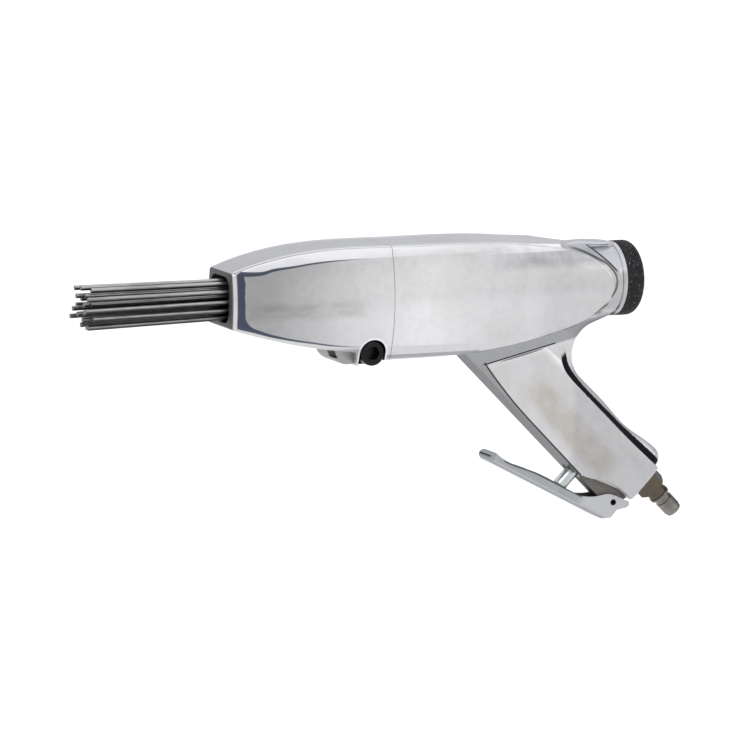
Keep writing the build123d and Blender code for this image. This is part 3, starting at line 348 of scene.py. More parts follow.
def use_group(tree, group, **inputs):
    """A copy of a shared group, with its inputs named by keywords; gives back its outputs."""
    node = tree.nodes.new("ShaderNodeGroup")
    node.node_tree = group
    for key, value in inputs.items():
        key = key.replace("_", " ")
        if isinstance(value, bpy.types.NodeSocket):
            link(tree, value, node.inputs[key])
        else:
            node.inputs[key].default_value = value
    return node.outputs


shared = {}


# ------------------------------------------------------------------ castings: lines and places
# Each line is a curve through points whose two numbers both run from 0 to 1. The first is a share
# of the line's span, the second a share of its reach. Spans and reaches are in millimetres.
flank_span = 300
edge_reach = 40
nose_reflection_width_reach = 4
grip_span = 200
pad_line_reach = 10
strap_line_reach = 100
panel_reach = 60
# How bright the painted reflection on the flanks is along the barrel, before its gain
flank_reflection_gain = 1.25
flank_reflection_line = (
    (0.0, 0.46), (0.067, 0.45), (0.127, 0.54), (0.187, 0.64), (0.247, 0.77),
    (0.307, 0.83), (0.367, 0.9), (0.427, 0.945), (0.487, 0.9), (0.55, 0.83),
    (0.61, 0.8), (0.67, 0.79), (0.73, 0.71), (0.79, 0.72), (1.0, 0.72),
)
# The upper and lower edges of the painted reflection on the flanks, above and below the barrel's axis
top_line = (
    (0.0, 0.46), (0.05, 0.42), (0.095, 0.478), (0.13, 0.507), (0.185, 0.557),
    (0.235, 0.582), (0.35, 0.6), (1.0, 0.62),
)
low_line = (
    (0.0, 0.36), (0.043, 0.445), (0.093, 0.56), (0.17, 0.677), (0.26, 0.77),
    (0.4, 0.8), (1.0, 0.82),
)
# Half the width of the arms of the painted dark reflection behind the nose, along the barrel
nose_reflection_width_line = (
    (0.0, 0.2), (0.02, 0.36), (0.04, 0.34), (0.08, 0.24), (0.13, 0.16),
    (0.19, 0.12), (0.27, 0.08), (0.34, 0.0), (1.0, 0.0),
)
# Down the grip: the front edge of its pads, and the groove in front of its backstrap
pad_front_line = (
    (0.0, 0.5), (0.09, 0.5), (0.12, 0.42), (0.19, 0.25), (0.3, 0.09), (0.43, 0.06), (1.0, 0.05),
)
strap_line = (
    (0.25, 0.485), (0.29, 0.431), (0.325, 0.395), (0.4, 0.387), (0.6, 0.39), (0.72, 0.398),
    (0.8, 0.405),
)
# Round the tail, by turn from straight down to straight up: the flank panel's rear edge
tail_line = (
    (0.0, 0.455), (0.257, 0.44), (0.336, 0.458), (0.421, 0.512), (0.531, 0.555),
    (0.647, 0.503), (0.746, 0.444), (0.857, 0.42), (1.0, 0.425),
)
panel_middle_x, panel_middle_z = 230, -2
flank_start = 3              # where the flanks begin behind the nose's front edge
flank_side = 14.9            # the flanks lie further out than this from the middle
# The pads' top edge leans: so much further down the grip for each millimetre back through it
pad_top_slope = 0.632
pad_top_rise = 17
shoulder_corner = 271.3      # x + z along the corner of the shoulder's facet
mouth_half = 14.5            # half the width of the nose's mouth
pocket_radius = 8.6


class CastingPlaces:
    """Places on the castings, in millimetres, that their marks are laid out by."""

    def __init__(self, tree):
        self.place = millimetres(tree)
        parts = put(tree, "ShaderNodeSeparateXYZ", {0: self.place}).outputs
        self.x, self.y, self.z = parts["X"], parts["Y"], parts["Z"]
        grip = use_group(tree, shared["grip"], Place=self.place)
        self.along, self.depth, self.side = grip["Along"], grip["Depth"], grip["Side"]

        # The flanks: how far a place lies under their top edge and over their low edge
        station = calc(tree, "DIVIDE", self.x, flank_span)
        top_edge = product(tree, curve(tree, station, top_line), edge_reach)
        low_edge = product(tree, curve(tree, station, low_line), -edge_reach)
        self.under_top = calc(tree, "SUBTRACT", top_edge, self.z)
        self.over_low = calc(tree, "SUBTRACT", self.z, low_edge)
        # How bright the painted reflection on the flanks is at this place
        self.flank_reflection = product(tree, curve(tree, station, flank_reflection_line), flank_reflection_gain)
        self.nose_reflection_half = product(tree, curve(tree, station, nose_reflection_width_line), nose_reflection_width_reach)
        self.on_flank = ramp_up(tree, self.side, flank_side - 0.3, flank_side + 0.3)
        self.inside = product(
            tree,
            ramp_up(tree, self.under_top, -0.5, 0.5),
            ramp_up(tree, self.over_low, -0.5, 0.5),
            ramp_up(tree, self.x, flank_start - 0.4, flank_start + 0.4),
        )

        # The grip: how far a place lies behind the pads' front edge and under their top edge
        self.grip_station = calc(tree, "DIVIDE", self.along, grip_span)
        pad_line = product(tree, curve(tree, self.grip_station, pad_front_line), pad_line_reach)
        self.past_pad_line = calc(tree, "SUBTRACT", self.depth, pad_line)
        self.rise = scale_add(tree, self.depth, -pad_top_slope, self.along)

        # The tail: how far a place lies outside the flank panel's rear edge
        tail_x = calc(tree, "ADD", self.x, -panel_middle_x)
        tail_z = calc(tree, "ADD", self.z, -panel_middle_z)
        turn = scale_add(tree, calc(tree, "ARCTAN2", tail_z, tail_x), 1 / math.pi, 0.5)
        self.past_panel = scale_add(
            tree, curve(tree, turn, tail_line), -panel_reach, corner_reach(tree, tail_x, tail_z)
        )
        sum_xz = calc(tree, "ADD", self.x, self.z)
        self.over_corner = calc(tree, "ADD", sum_xz, -shoulder_corner)


# ------------------------------------------------------------------ castings: colours
def stained_colour(tree, at, marks, mottle, settings):
    """Bare casting with broad warm stains, strongest on the pads of the grip."""
    patches = ramp_up(tree, noise(tree, at.place, 0.07, 4, 0.65), 0.3, 0.6)
    on_pad = product(
        tree,
        band(tree, at.along, 66, 124, 20),
        band(tree, at.depth, 11, 21, 9),
        scale_add(tree, patches, 0.45, 0.55),
        ramp_up(tree, at.side, 10.5, 12.5),
    )
    stain = scale_add(tree, on_pad, 0.8, product(tree, marks["Stain"], 0.22), clamp=True)
    colour = blend_colour(tree, stain, settings.casting_colour, settings.stain_colour)
    colour = shade(tree, ramp_up(tree, mottle, 0.35, 0.75), colour, (0.93, 0.94, 0.95))
    return shade(tree, product(tree, marks["Speck"], 0.25), colour, (0.35, 0.36, 0.38))


def flank_painted_reflection(tree, at, colour):
    """Painted reflection on the flanks: darker at the nose, brightest behind the split, ending at two
    soft lines.
    """
    grey = put(tree, "ShaderNodeCombineXYZ", {0: at.flank_reflection, 1: at.flank_reflection, 2: at.flank_reflection}).outputs[0]
    faded = blend_colour(tree, product(tree, at.inside, at.on_flank), (1, 1, 1), grey)
    colour = shade(tree, 1.0, colour, faded)
    # Faint streaks run along the flank behind the nose
    drawn_out = put(
        tree, "ShaderNodeVectorMath", {0: at.place, 1: (0.35, 1.0, 1.0)}, operation="MULTIPLY"
    ).outputs[0]
    streaks = ramp_up(tree, noise(tree, drawn_out, 0.12, 4, 0.6), 0.35, 0.65)
    streak_low, streak_high = -9, -5
    streak_start, streak_end = 22, 72
    streaks = product(
        tree,
        scale_add(tree, streaks, 0.6, 0.4),
        band(tree, at.z, streak_low, streak_high, 6),
        band(tree, at.x, streak_start, streak_end, 22),
        at.inside,
    )
    colour = shade(tree, streaks, colour, (0.76, 0.75, 0.735))
    # Painted highlight: between the top line and the crest the flank is painted at its brightest
    bright_end, fading_start = 190, 120
    crest_highlight = product(
        tree,
        ramp_up(tree, at.under_top, 0.4, -0.6),
        at.on_flank,
        ramp_up(tree, at.z, 10, 13),
        ramp_up(tree, at.x, bright_end, fading_start),
    )
    return blend_colour(tree, crest_highlight, colour, (0.80, 0.80, 0.815))


def nose_painted_reflection(tree, at):
    """A painted dark reflection behind the nose: a band round the collar, an arm along each flank edge.
    """
    arm_soft = 0.35
    arm_start, arm_end, arm_fade = 5.5, 60, 40
    collar_start, collar_end = 3.4, 8.0

    def arm(from_edge):
        inwards = calc(tree, "SUBTRACT", at.nose_reflection_half, calc(tree, "ABSOLUTE", from_edge))
        return ramp_up(tree, inwards, -arm_soft, arm_soft)

    arms = product(
        tree,
        largest(tree, arm(at.under_top), arm(at.over_low)),
        band(tree, at.x, arm_start, arm_end, arm_fade),
        ramp_up(tree, at.x, flank_start, arm_start + 0.5),
    )
    waver = calc(tree, "SUBTRACT", noise(tree, at.place, 0.12, 2, 0.5), 0.5)
    wavering_x = calc(tree, "ADD", at.x, product(tree, waver, 1.6))
    collar_band = product(
        tree,
        band(tree, wavering_x, collar_start, collar_end, 0.7),
        ramp_up(tree, at.under_top, -1.5, 0),
        ramp_up(tree, at.over_low, -1.5, 0),
    )
    # Its inner corner is rounded wide at the bottom
    inner_radius = 7.5
    inner_middle = collar_end + inner_radius
    inner_x = calc(tree, "MAXIMUM", calc(tree, "SUBTRACT", inner_middle, at.x), 0)
    inner_z = calc(tree, "SUBTRACT", calc(tree, "ADD", at.nose_reflection_half, inner_radius), at.over_low)
    inner_reach = corner_reach(tree, inner_x, calc(tree, "MAXIMUM", inner_z, 0))
    inner = product(
        tree,
        ramp_up(tree, inner_reach, inner_radius - 0.3, inner_radius + 0.3),
        ramp_up(tree, calc(tree, "ADD", at.over_low, at.nose_reflection_half), -arm_soft, arm_soft),
        ramp_up(tree, at.x, 22, 15),
        ramp_up(tree, at.under_top, 4, 6),
        ramp_up(tree, wavering_x, collar_start - 0.7, collar_start),
    )
    # Its outer corner is rounded close at the top
    outer_radius = 4
    outer_middle = 7.6
    outer_x = calc(tree, "MAXIMUM", calc(tree, "SUBTRACT", outer_middle, at.x), 0)
    outer_z = calc(tree, "SUBTRACT", outer_radius, calc(tree, "ADD", at.nose_reflection_half, at.under_top))
    outer_reach = corner_reach(tree, outer_x, calc(tree, "MAXIMUM", outer_z, 0))
    outer = ramp_up(tree, outer_reach, outer_radius + 0.4, outer_radius - 0.1)
    return product(tree, largest(tree, collar_band, arms, inner), outer, at.on_flank, 0.94)


def flank_darker_patches(tree, at, mottle):
    """Darker places: under the top edge near the tail, and a strip along the belly."""
    smudge_low, smudge_high = 17, 22.3
    smudge = product(
        tree,
        ramp_up(tree, at.x, 160, 218),
        band(tree, at.z, smudge_low, smudge_high, 7),
        ramp_up(tree, at.z, smudge_high + 1.1, smudge_high - 0.1),
        scale_add(tree, mottle, 0.6, 0.6, clamp=True),
        ramp_up(tree, at.side, 10, 13),
    )
    belly_low, belly_high = -39.5, -37.6
    belly_edge = product(
        tree, band(tree, at.x, 104, 165, 3), band(tree, at.z, belly_low, belly_high, 0.5)
    )
    return largest(tree, smudge, belly_edge)


def grip_painted_shade(tree, at):
    """Painted shade on the grip's front strip and on its root under the barrel, which are darker than
    its pads.
    """
    grip_side, root_rise = 12.5, 17.6
    strip = product(
        tree,
        ramp_up(tree, at.past_pad_line, 0.3, -0.3),
        ramp_up(tree, at.side, grip_side + 1, grip_side),
    )
    root = product(
        tree,
        ramp_up(tree, at.rise, root_rise + 1, root_rise - 1),
        ramp_up(tree, at.side, grip_side + 2, grip_side),
    )
    # The barrel's low edge climbs a little towards the tail
    barrel_climb, barrel_edge = 0.16, -64
    under_edge = scale_add(tree, at.x, -barrel_climb, at.z)
    under_barrel = ramp_up(tree, under_edge, barrel_edge + 2, barrel_edge - 2)
    return product(
        tree, largest(tree, strip, root), under_barrel, ramp_up(tree, at.along, -12, -6)
    )


def sand_skin(tree, at):
    """Masks of the rough sand-cast skin: all of it, and the tang at the grip's foot alone."""
    nose_face = ramp_up(tree, at.x, 1.2, 0.5)
    mouth_edge = mouth_half + 0.4
    in_mouth = product(
        tree,
        ramp_up(tree, at.side, mouth_edge, mouth_half),
        ramp_up(tree, calc(tree, "ABSOLUTE", at.z), mouth_edge, mouth_half),
        ramp_up(tree, at.x, 100, 90),
    )
    lug_rear, lug_top = 92, -31
    lug = product(
        tree, ramp_up(tree, at.x, lug_rear, lug_rear - 8), ramp_up(tree, at.z, lug_top, lug_top - 3), 0.6
    )
    tang_half, tang_start, tang_rear = 6.0, 116, 14
    tang = product(
        tree,
        ramp_up(tree, at.side, tang_half + 0.4, tang_half),
        ramp_up(tree, at.along, tang_start, tang_start + 8),
        ramp_up(tree, at.depth, tang_rear, tang_rear - 2),
    )
    return largest(tree, nose_face, in_mouth, lug, tang), tang


def shoulder_facet(tree, at):
    """The flat facet on the shoulder between the flank panel and the collar."""
    facet_start, facet_end = 236, 270
    return product(
        tree,
        ramp_up(tree, at.past_panel, 0.5, 1.5),
        band(tree, at.x, facet_start, facet_end, 4),
        ramp_up(tree, at.z, 6, 12),
        ramp_up(tree, at.side, 6, 9),
    )


def bolt_pocket_light_and_shade(tree, at):
    """A painted highlight round the bolt's pocket, and painted shade in the pocket itself."""
    from_bolt_x = calc(tree, "ABSOLUTE", calc(tree, "SUBTRACT", at.x, bolt_place.x / MM))
    from_bolt_z = calc(tree, "MAXIMUM", calc(tree, "SUBTRACT", at.z, bolt_place.z / MM), 0)
    from_bolt = corner_reach(tree, from_bolt_x, from_bolt_z)
    near_side = product(tree, ramp_up(tree, at.y, -10, -14), ramp_up(tree, at.z, -20, -26))
    rim = product(
        tree, band(tree, from_bolt, pocket_radius + 0.1, pocket_radius + 1, 0.3), near_side, 0.6
    )
    pocket = ramp_up(tree, from_bolt, pocket_radius + 0.06, pocket_radius - 0.04)
    return rim, product(tree, pocket, near_side)


def backstrap_groove_shade(tree, at):
    """Painted shade in the groove between the pads and the backstrap, with a ragged edge."""
    edge_depth = product(tree, curve(tree, at.grip_station, strap_line), strap_line_reach)
    ragged = calc(tree, "SUBTRACT", noise(tree, at.place, 0.5, 3, 0.6), 0.5)
    behind = scale_add(tree, ragged, 1.1, calc(tree, "SUBTRACT", at.depth, edge_depth))
    # It widens slowly towards the foot, and is wider again at its upper end
    top_width, widening = 1.5, 0.017
    upper_start, upper_end = 58, 84
    foot_end = 164
    width = scale_add(tree, at.along, widening, top_width)
    width = scale_add(tree, ramp_up(tree, at.along, upper_end, upper_end - 20), 1.4, width)
    return product(
        tree,
        ramp_up(tree, behind, -0.4, 0.3),
        ramp_up(tree, calc(tree, "SUBTRACT", behind, width), 0.8, 0.2),
        ramp_up(tree, at.side, 5, 6.5),
        band(tree, at.along, upper_start, foot_end, 3),
    )


def pad_outline_shade(tree, at):
    """A thin line of painted shade round the pads: down their front and along their top, up to the
    backstrap.
    """
    front_top, front_foot = 19.5, 122
    front = product(
        tree,
        band(tree, at.past_pad_line, -0.25, 0.5, 0.3),
        band(tree, at.along, front_top, front_foot, 1),
    )
    corner_depth, strap_depth = 4.2, 47
    top = product(
        tree,
        band(tree, at.rise, pad_top_rise - 0.3, pad_top_rise + 0.4, 0.3),
        band(tree, at.depth, corner_depth, strap_depth, 1),
    )
    return product(tree, largest(tree, front, top), band(tree, at.side, 10.2, 13, 0.5), 0.92)


def shoulder_crease_shade(tree, at):
    """Painted shade in the crease behind the flank panel, along the corner of the facet and in the line
    above it.
    """
    behind_panel = product(
        tree, band(tree, at.past_panel, -0.1, 1.0, 0.5), ramp_up(tree, at.x, 222, 244), 0.75
    )
    corner_start, corner_end = 248, 263
    corner = product(
        tree,
        ramp_up(tree, calc(tree, "ABSOLUTE", at.over_corner), 1.2, 0.5),
        band(tree, at.x, corner_start, corner_end, 1.5),
        ramp_up(tree, at.side, 8, 11),
        0.9,
    )
    upper_slope, upper_height = 0.057, 37.9
    off_upper = scale_add(tree, at.x, upper_slope, calc(tree, "SUBTRACT", at.z, upper_height))
    upper = product(
        tree,
        ramp_up(tree, calc(tree, "ABSOLUTE", off_upper), 0.6, 0.2),
        band(tree, at.x, corner_start, corner_end + 1, 1.5),
        0.6,
    )
    return largest(tree, behind_panel, corner, upper)


# ------------------------------------------------------------------ materials
def casting_material(settings):
    material, tree, shader = new_material("cast_aluminium", settings.casting_colour)
    at = CastingPlaces(tree)
    marks = use_group(
        tree, shared["handling"], Place=at.place, Stain_size=0.022, Scratch_size=0.9
    )
    mottle = noise(tree, at.place, 0.2, 4, 0.6)

    colour = stained_colour(tree, at, marks, mottle, settings)
    # Painted reflection and painted highlight on the flanks
    colour = flank_painted_reflection(tree, at, colour)
    # A painted dark reflection behind the nose
    colour = blend_colour(tree, nose_painted_reflection(tree, at), colour, (0.045, 0.058, 0.09))
    colour = shade(tree, flank_darker_patches(tree, at, mottle), colour, (0.60, 0.605, 0.625))
    # Painted shade on the grip's front strip and its root; the same mask also dims their reflections
    grip_shade = grip_painted_shade(tree, at)
    colour = shade(tree, grip_shade, colour, (0.54, 0.55, 0.56))
    pad = product(tree, ramp_up(tree, at.rise, 18, 24), ramp_up(tree, at.side, 9.5, 10.5))
    colour = shade(tree, pad, colour, (0.94, 0.94, 0.935))
    link(tree, blend_colour(tree, grip_shade, (1, 1, 1), (0.5, 0.5, 0.5)), shader.inputs["Specular Tint"])

    grain = noise(tree, at.place, 1.3, 4, 0.7)
    skin, tang = sand_skin(tree, at)
    skin_colour = blend_colour(tree, grain, (0.05, 0.05, 0.05), (0.26, 0.255, 0.25))
    colour = blend_colour(tree, skin, colour, skin_colour)
    tang_colour = blend_colour(tree, grain, (0.13, 0.115, 0.10), (0.34, 0.32, 0.30))
    colour = blend_colour(tree, tang, colour, tang_colour)

    # The shoulder behind the flank panels is darker than they are, and its facet carries painted shade,
    # darkest below its corner
    shoulder = product(tree, ramp_up(tree, at.past_panel, 0, 1.2), ramp_up(tree, at.x, 236, 244))
    colour = shade(tree, product(tree, shoulder, 0.45), colour, (0.66, 0.67, 0.70))
    facet = shoulder_facet(tree, at)
    above_corner = ramp_up(tree, at.over_corner, -0.5, 0.5)
    facet_shaded_colour = blend_colour(tree, above_corner, (0.40, 0.41, 0.44), (0.55, 0.56, 0.60))
    colour = blend_colour(tree, facet, colour, facet_shaded_colour)
    rim, pocket = bolt_pocket_light_and_shade(tree, at)
    # The painted highlight round the bolt's pocket
    colour = blend_colour(tree, rim, colour, (0.92, 0.92, 0.94))

    # Near-black: painted shade behind the pads, along their outline, in the shoulder's creases and in
    # the bolt's pocket, and the dark joint at the split
    parting = parting_x / MM
    shade_and_joint = largest(
        tree,
        backstrap_groove_shade(tree, at),
        pad_outline_shade(tree, at),
        product(tree, band(tree, at.x, parting - 0.05, parting + 0.17, 0.12), 0.8),
        shoulder_crease_shade(tree, at),
        pocket,
    )
    colour = blend_colour(tree, shade_and_joint, colour, settings.shade_and_joint_colour)
    link(tree, colour, shader.inputs["Base Color"])

    rough = scale_add(tree, marks["Rub"], 0.14, settings.casting_roughness - 0.07)
    rough = scale_add(tree, skin, 0.4, rough)
    link(tree, scale_add(tree, shade_and_joint, 0.2, rough, clamp=True), shader.inputs["Roughness"])
    bare = scale_add(tree, facet, -0.75, 1)
    link(tree, scale_add(tree, shade_and_joint, -1, bare, clamp=True), shader.inputs["Metallic"])
    link(tree, scale_add(tree, shade_and_joint, -0.44, 0.5), shader.inputs["Specular IOR Level"])

    height = scale_add(tree, marks["Rub"], 0.012, product(tree, marks["Wave"], 1.1))
    height = scale_add(tree, product(tree, grain, skin), 0.35, height)
    add_bump(tree, shader, height)
    return material


def worn_metal(name, colour, dirt_and_shade, roughness):
    """A plain metal with stains, rubbing marks and a slightly uneven skin."""
    material, tree, shader = new_material(name, colour)
    marks = use_group(
        tree, shared["handling"], Place=millimetres(tree), Stain_size=0.06, Scratch_size=1.5
    )
    mixed = blend_colour(tree, product(tree, marks["Stain"], 0.35), colour, dirt_and_shade)
    mixed = blend_colour(tree, product(tree, marks["Speck"], 0.5), mixed, dirt_and_shade)
    link(tree, mixed, shader.inputs["Base Color"])
    finish_metal(tree, shader, marks, roughness - 0.11, 0.22)
    return material


def plug_material(settings):
    material, tree, shader = new_material("plug_nickel", settings.plug_colour)
    place = millimetres(tree)
    marks = use_group(tree, shared["handling"], Place=place, Stain_size=0.09, Scratch_size=1.5)
    grip = use_group(tree, shared["grip"], Place=place)
    # The hexagon is browned, and the sides that face back from the grip carry painted shade
    hexagon_end = 180
    browned = ramp_up(tree, grip["Along"], hexagon_end, hexagon_end - 1.5)
    colour = blend_colour(tree, browned, settings.plug_colour, settings.hexagon_colour)
    turned = scale_add(tree, calc(tree, "SUBTRACT", marks["Rub"], 0.5), 0.5, facing(tree)["X"])
    colour = shade(tree, ramp_up(tree, turned, 0.15, 0.55), colour, (0.3, 0.29, 0.28))
    colour = blend_colour(tree, product(tree, marks["Stain"], 0.6), colour, (0.09, 0.075, 0.06))
    colour = blend_colour(tree, product(tree, marks["Speck"], 0.5), colour, (0.06, 0.05, 0.04))
    link(tree, colour, shader.inputs["Base Color"])
    finish_metal(tree, shader, marks, 0.22, 0.22)
    return material


def lever_material(settings):
    material, tree, shader = new_material("lever_aluminium", settings.lever_colour)
    place = millimetres(tree)
    parts = put(tree, "ShaderNodeSeparateXYZ", {0: place}).outputs
    marks = use_group(tree, shared["handling"], Place=place, Stain_size=0.05, Scratch_size=1.6)
    # Places on the lever, from its pin: along to the tip, height towards the grip, side from
    # the middle
    cosine, sine = math.cos(lever_angle), math.sin(lever_angle)
    from_pin_x = calc(tree, "SUBTRACT", parts["X"], lever_pivot.x / MM)
    from_pin_z = calc(tree, "SUBTRACT", parts["Z"], lever_pivot.z / MM)
    along = scale_add(tree, from_pin_x, -cosine, product(tree, from_pin_z, sine))
    height = scale_add(tree, from_pin_x, sine, product(tree, from_pin_z, cosine))
    side = calc(tree, "ABSOLUTE", parts["Y"])
    stain = product(tree, marks["Stain"], 0.35)
    colour = blend_colour(tree, stain, settings.lever_colour, (0.38, 0.38, 0.38))
    colour = blend_colour(tree, product(tree, marks["Speck"], 0.4), colour, (0.24, 0.24, 0.24))

    # The sides are darker between the heel and the tip, and their lower edges carry a painted highlight.
    # The tip is darker, and below the sides the lever carries painted shade
    foot_height, side_top = -12.2, -10.4
    darker_side = product(
        tree, band(tree, along, 26, 88, 8), ramp_up(tree, height, side_top - 0.8, side_top)
    )
    colour = shade(tree, darker_side, colour, (0.75, 0.76, 0.765))
    lower_edge_highlight = product(
        tree,
        band(tree, along, 20, 90, 4),
        band(tree, height, foot_height, foot_height + 0.9, 0.4),
        0.7,
    )
    colour = blend_colour(tree, lower_edge_highlight, colour, (0.80, 0.80, 0.81))
    tip_start = 90
    colour = shade(tree, ramp_up(tree, along, tip_start, 93), colour, (0.66, 0.67, 0.67))
    underside_shade = ramp_up(tree, height, side_top, foot_height)
    colour = blend_colour(tree, underside_shade, colour, (0.36, 0.37, 0.385))

    # Painted shade: the inside of the channel is painted dark, and a dark line is painted under the
    # flanges' rims
    channel_half, channel_floor, channel_end = 6.05, -9, 83.9
    channel = product(
        tree,
        ramp_up(tree, side, channel_half + 0.1, channel_half - 0.1),
        ramp_up(tree, height, channel_floor - 0.2, channel_floor + 0.2),
        ramp_up(tree, along, channel_end + 0.3, channel_end - 0.3),
        0.85,
    )
    rim = scale_add(tree, ramp_up(tree, along, 58, 82), 2.1, height)
    rim_line = product(tree, ramp_up(tree, rim, -6.9, -6.3), band(tree, along, 24, 83, 3), 0.8)
    # Three short dark lines meet on the tip; each has a slope and a length
    groove_start, groove_height = 95, -9.5
    from_start = calc(tree, "SUBTRACT", along, groove_start)
    from_height = calc(tree, "ADD", height, -groove_height)
    grooves = []
    for slope, length in ((0.42, 4.6), (-0.02, 6.0), (-0.4, 4.6)):
        off_line = calc(tree, "ABSOLUTE", scale_add(tree, from_start, -slope, from_height))
        reach = band(tree, from_start, 0, length, 0.5)
        grooves.append(product(tree, ramp_up(tree, off_line, 0.75, 0.3), reach))
    # Together: the painted shade in the channel and under the rims, and the dark lines on the tip
    dirt_and_shade = largest(tree, channel, rim_line, *grooves)
    colour = blend_colour(tree, dirt_and_shade, colour, (0.05, 0.05, 0.055))
    link(tree, colour, shader.inputs["Base Color"])
    finish_metal(tree, shader, marks, scale_add(tree, dirt_and_shade, 0.2, 0.28), 0.2)
    return material


def rubber_material(settings):
    material, tree, shader = new_material("cap_rubber", settings.rubber_colour)
    place = millimetres(tree)
    grain = noise(tree, place, 1.4, 4, 0.7)
    specks = ramp_up(tree, noise(tree, place, 0.8, 3, 0.75), 0.61, 0.68)
    dust = ramp_up(tree, noise(tree, place, 0.16, 3, 0.6), 0.45, 0.75)
    dusty = product(tree, dust, 0.07)
    colour = blend_colour(tree, dusty, settings.rubber_colour, (0.2, 0.2, 0.21))
    colour = blend_colour(tree, product(tree, specks, 0.5), colour, (0.45, 0.45, 0.46))
    link(tree, colour, shader.inputs["Base Color"])
    link(tree, scale_add(tree, grain, 0.2, 0.56), shader.inputs["Roughness"])
    shader.inputs["Specular IOR Level"].default_value = 0.18
    add_bump(tree, shader, grain, strength=0.5, distance=0.8 * MM)
    return material


def seal_material():
    material, tree, shader = new_material("seal_rubber", (0.02, 0.02, 0.02))
    grain = noise(tree, millimetres(tree), 2.0, 3, 0.6)
    colour = blend_colour(tree, grain, (0.015, 0.015, 0.016), (0.05, 0.05, 0.05))
    link(tree, colour, shader.inputs["Base Color"])
    link(tree, scale_add(tree, grain, 0.2, 0.35), shader.inputs["Roughness"])
    return material


def needle_material(settings):
    material, tree, shader = new_material("needle_steel", settings.needle_colour)
    marks = use_group(
        tree, shared["handling"], Place=millimetres(tree), Stain_size=0.05, Scratch_size=1.2
    )
    # Painted light and shade: the needles are painted lighter where they face up and darker where they
    # face down, broken by the rubbing marks
    lift = scale_add(tree, calc(tree, "SUBTRACT", marks["Rub"], 0.5), 0.6, facing(tree)["Z"])
    rubbed = ramp_up(tree, lift, -0.5, 0.85)
    colour = blend_colour(tree, rubbed, settings.needle_shade_colour, settings.needle_colour)
    colour = blend_colour(tree, product(tree, marks["Stain"], 0.35), colour, (0.12, 0.11, 0.10))
    link(tree, colour, shader.inputs["Base Color"])
    shader.inputs["Metallic"].default_value = 1.0
    link(tree, scale_add(tree, marks["Rub"], 0.2, 0.24), shader.inputs["Roughness"])
    add_bump(tree, shader, marks["Rub"], strength=0.3, distance=0.05 * MM)
    return material


# ------------------------------------------------------------------ stage
stage_middle = Vector((0.106, 0, -0.0537))
floor_half = 12.0
floor_glow = 0.26
mirrored_share = 0.3         # how much of that glow is seen mirrored in the tool
camera_turn, camera_lift, camera_roll = -24.9, 9.2, 0.78
camera_distance = 3.0
sensor_width = 36
lens_per_width = 6.388
rear_wall = (0.66, 0.668, 0.70)
front_wall_foot, front_wall_top = (1.0, 1.0, 1.0), (0.94, 0.94, 0.955)
soft_box = (1.12, 1.12, 1.14)
rail = (0.30, 0.32, 0.36)
ceiling = (0.5, 0.51, 0.54)
# Each lamp's name, place, width and power
lamps = (
    ("key_lamp", (-0.9, -1.5, 1.6), 1.4, 6),
    ("fill_lamp", (1.6, -1.2, 0.7), 1.2, 2),
)


def lay_floor(settings):
    """A plain floor that reads as white and still takes the tool's shadow."""
    low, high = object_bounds()
    bpy.ops.object.select_all(action="DESELECT")
    bpy.ops.mesh.primitive_plane_add(size=1, location=(0, 0, 0))
    floor = bpy.context.object
    floor.name = "floor"
    half = floor_half
    ground = low.z - settings.floor_drop
    corners = ((-half, -half), (half, -half), (-half, half), (half, half))
    for vertex, (x, y) in zip(floor.data.vertices, corners):
        vertex.co = (x, y, ground)
    material, tree, shader = new_material("floor_white", settings.floor_colour)
    shader.inputs["Base Color"].default_value = (*settings.floor_colour, 1)
    shader.inputs["Roughness"].default_value = 0.9
    rays = tree.nodes.new("ShaderNodeLightPath").outputs
    seen = scale_add(tree, rays["Is Glossy Ray"], mirrored_share, rays["Is Camera Ray"])
    seen = calc(tree, "ADD", seen, rays["Is Transmission Ray"], clamp=True)
    shader.inputs["Emission Color"].default_value = (1, 1, 1, 1)
    link(tree, product(tree, seen, floor_glow), shader.inputs["Emission Strength"])
    floor.data.materials.append(material)
    floor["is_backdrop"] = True


def light_room(scene):
    """A pale room: soft boxes overhead in front, a duller rear wall, a dark rail, a dim ceiling."""
    world = bpy.data.worlds.new("studio")
    scene.world = world
    world.use_nodes = True
    tree = world.node_tree
    direction = tree.nodes.new("ShaderNodeTexCoord").outputs["Generated"]
    parts = put(tree, "ShaderNodeSeparateXYZ", {0: direction}).outputs
    height = parts["Z"]
    front = ramp_up(tree, parts["Y"], 0.15, -0.15)
    wall = blend_colour(tree, ramp_up(tree, height, 0.05, 0.3), front_wall_foot, front_wall_top)
    colour = blend_colour(tree, front, rear_wall, wall)
    box_foot = scale_add(tree, front, -0.07, 0.46)
    over_foot = ramp_up(tree, calc(tree, "SUBTRACT", height, box_foot), -0.03, 0.03)
    in_box = product(tree, over_foot, ramp_up(tree, height, 0.9, 0.84))
    colour = blend_colour(tree, in_box, colour, soft_box)
    on_rail = product(tree, band(tree, height, 0.325, 0.35, 0.025), front, 0.2)
    colour = blend_colour(tree, on_rail, colour, rail)
    colour = blend_colour(tree, ramp_up(tree, height, 0.9, 0.98), colour, ceiling)
    background = tree.nodes["Background"]
    link(tree, colour, background.inputs["Color"])
    background.inputs["Strength"].default_value = 1.0


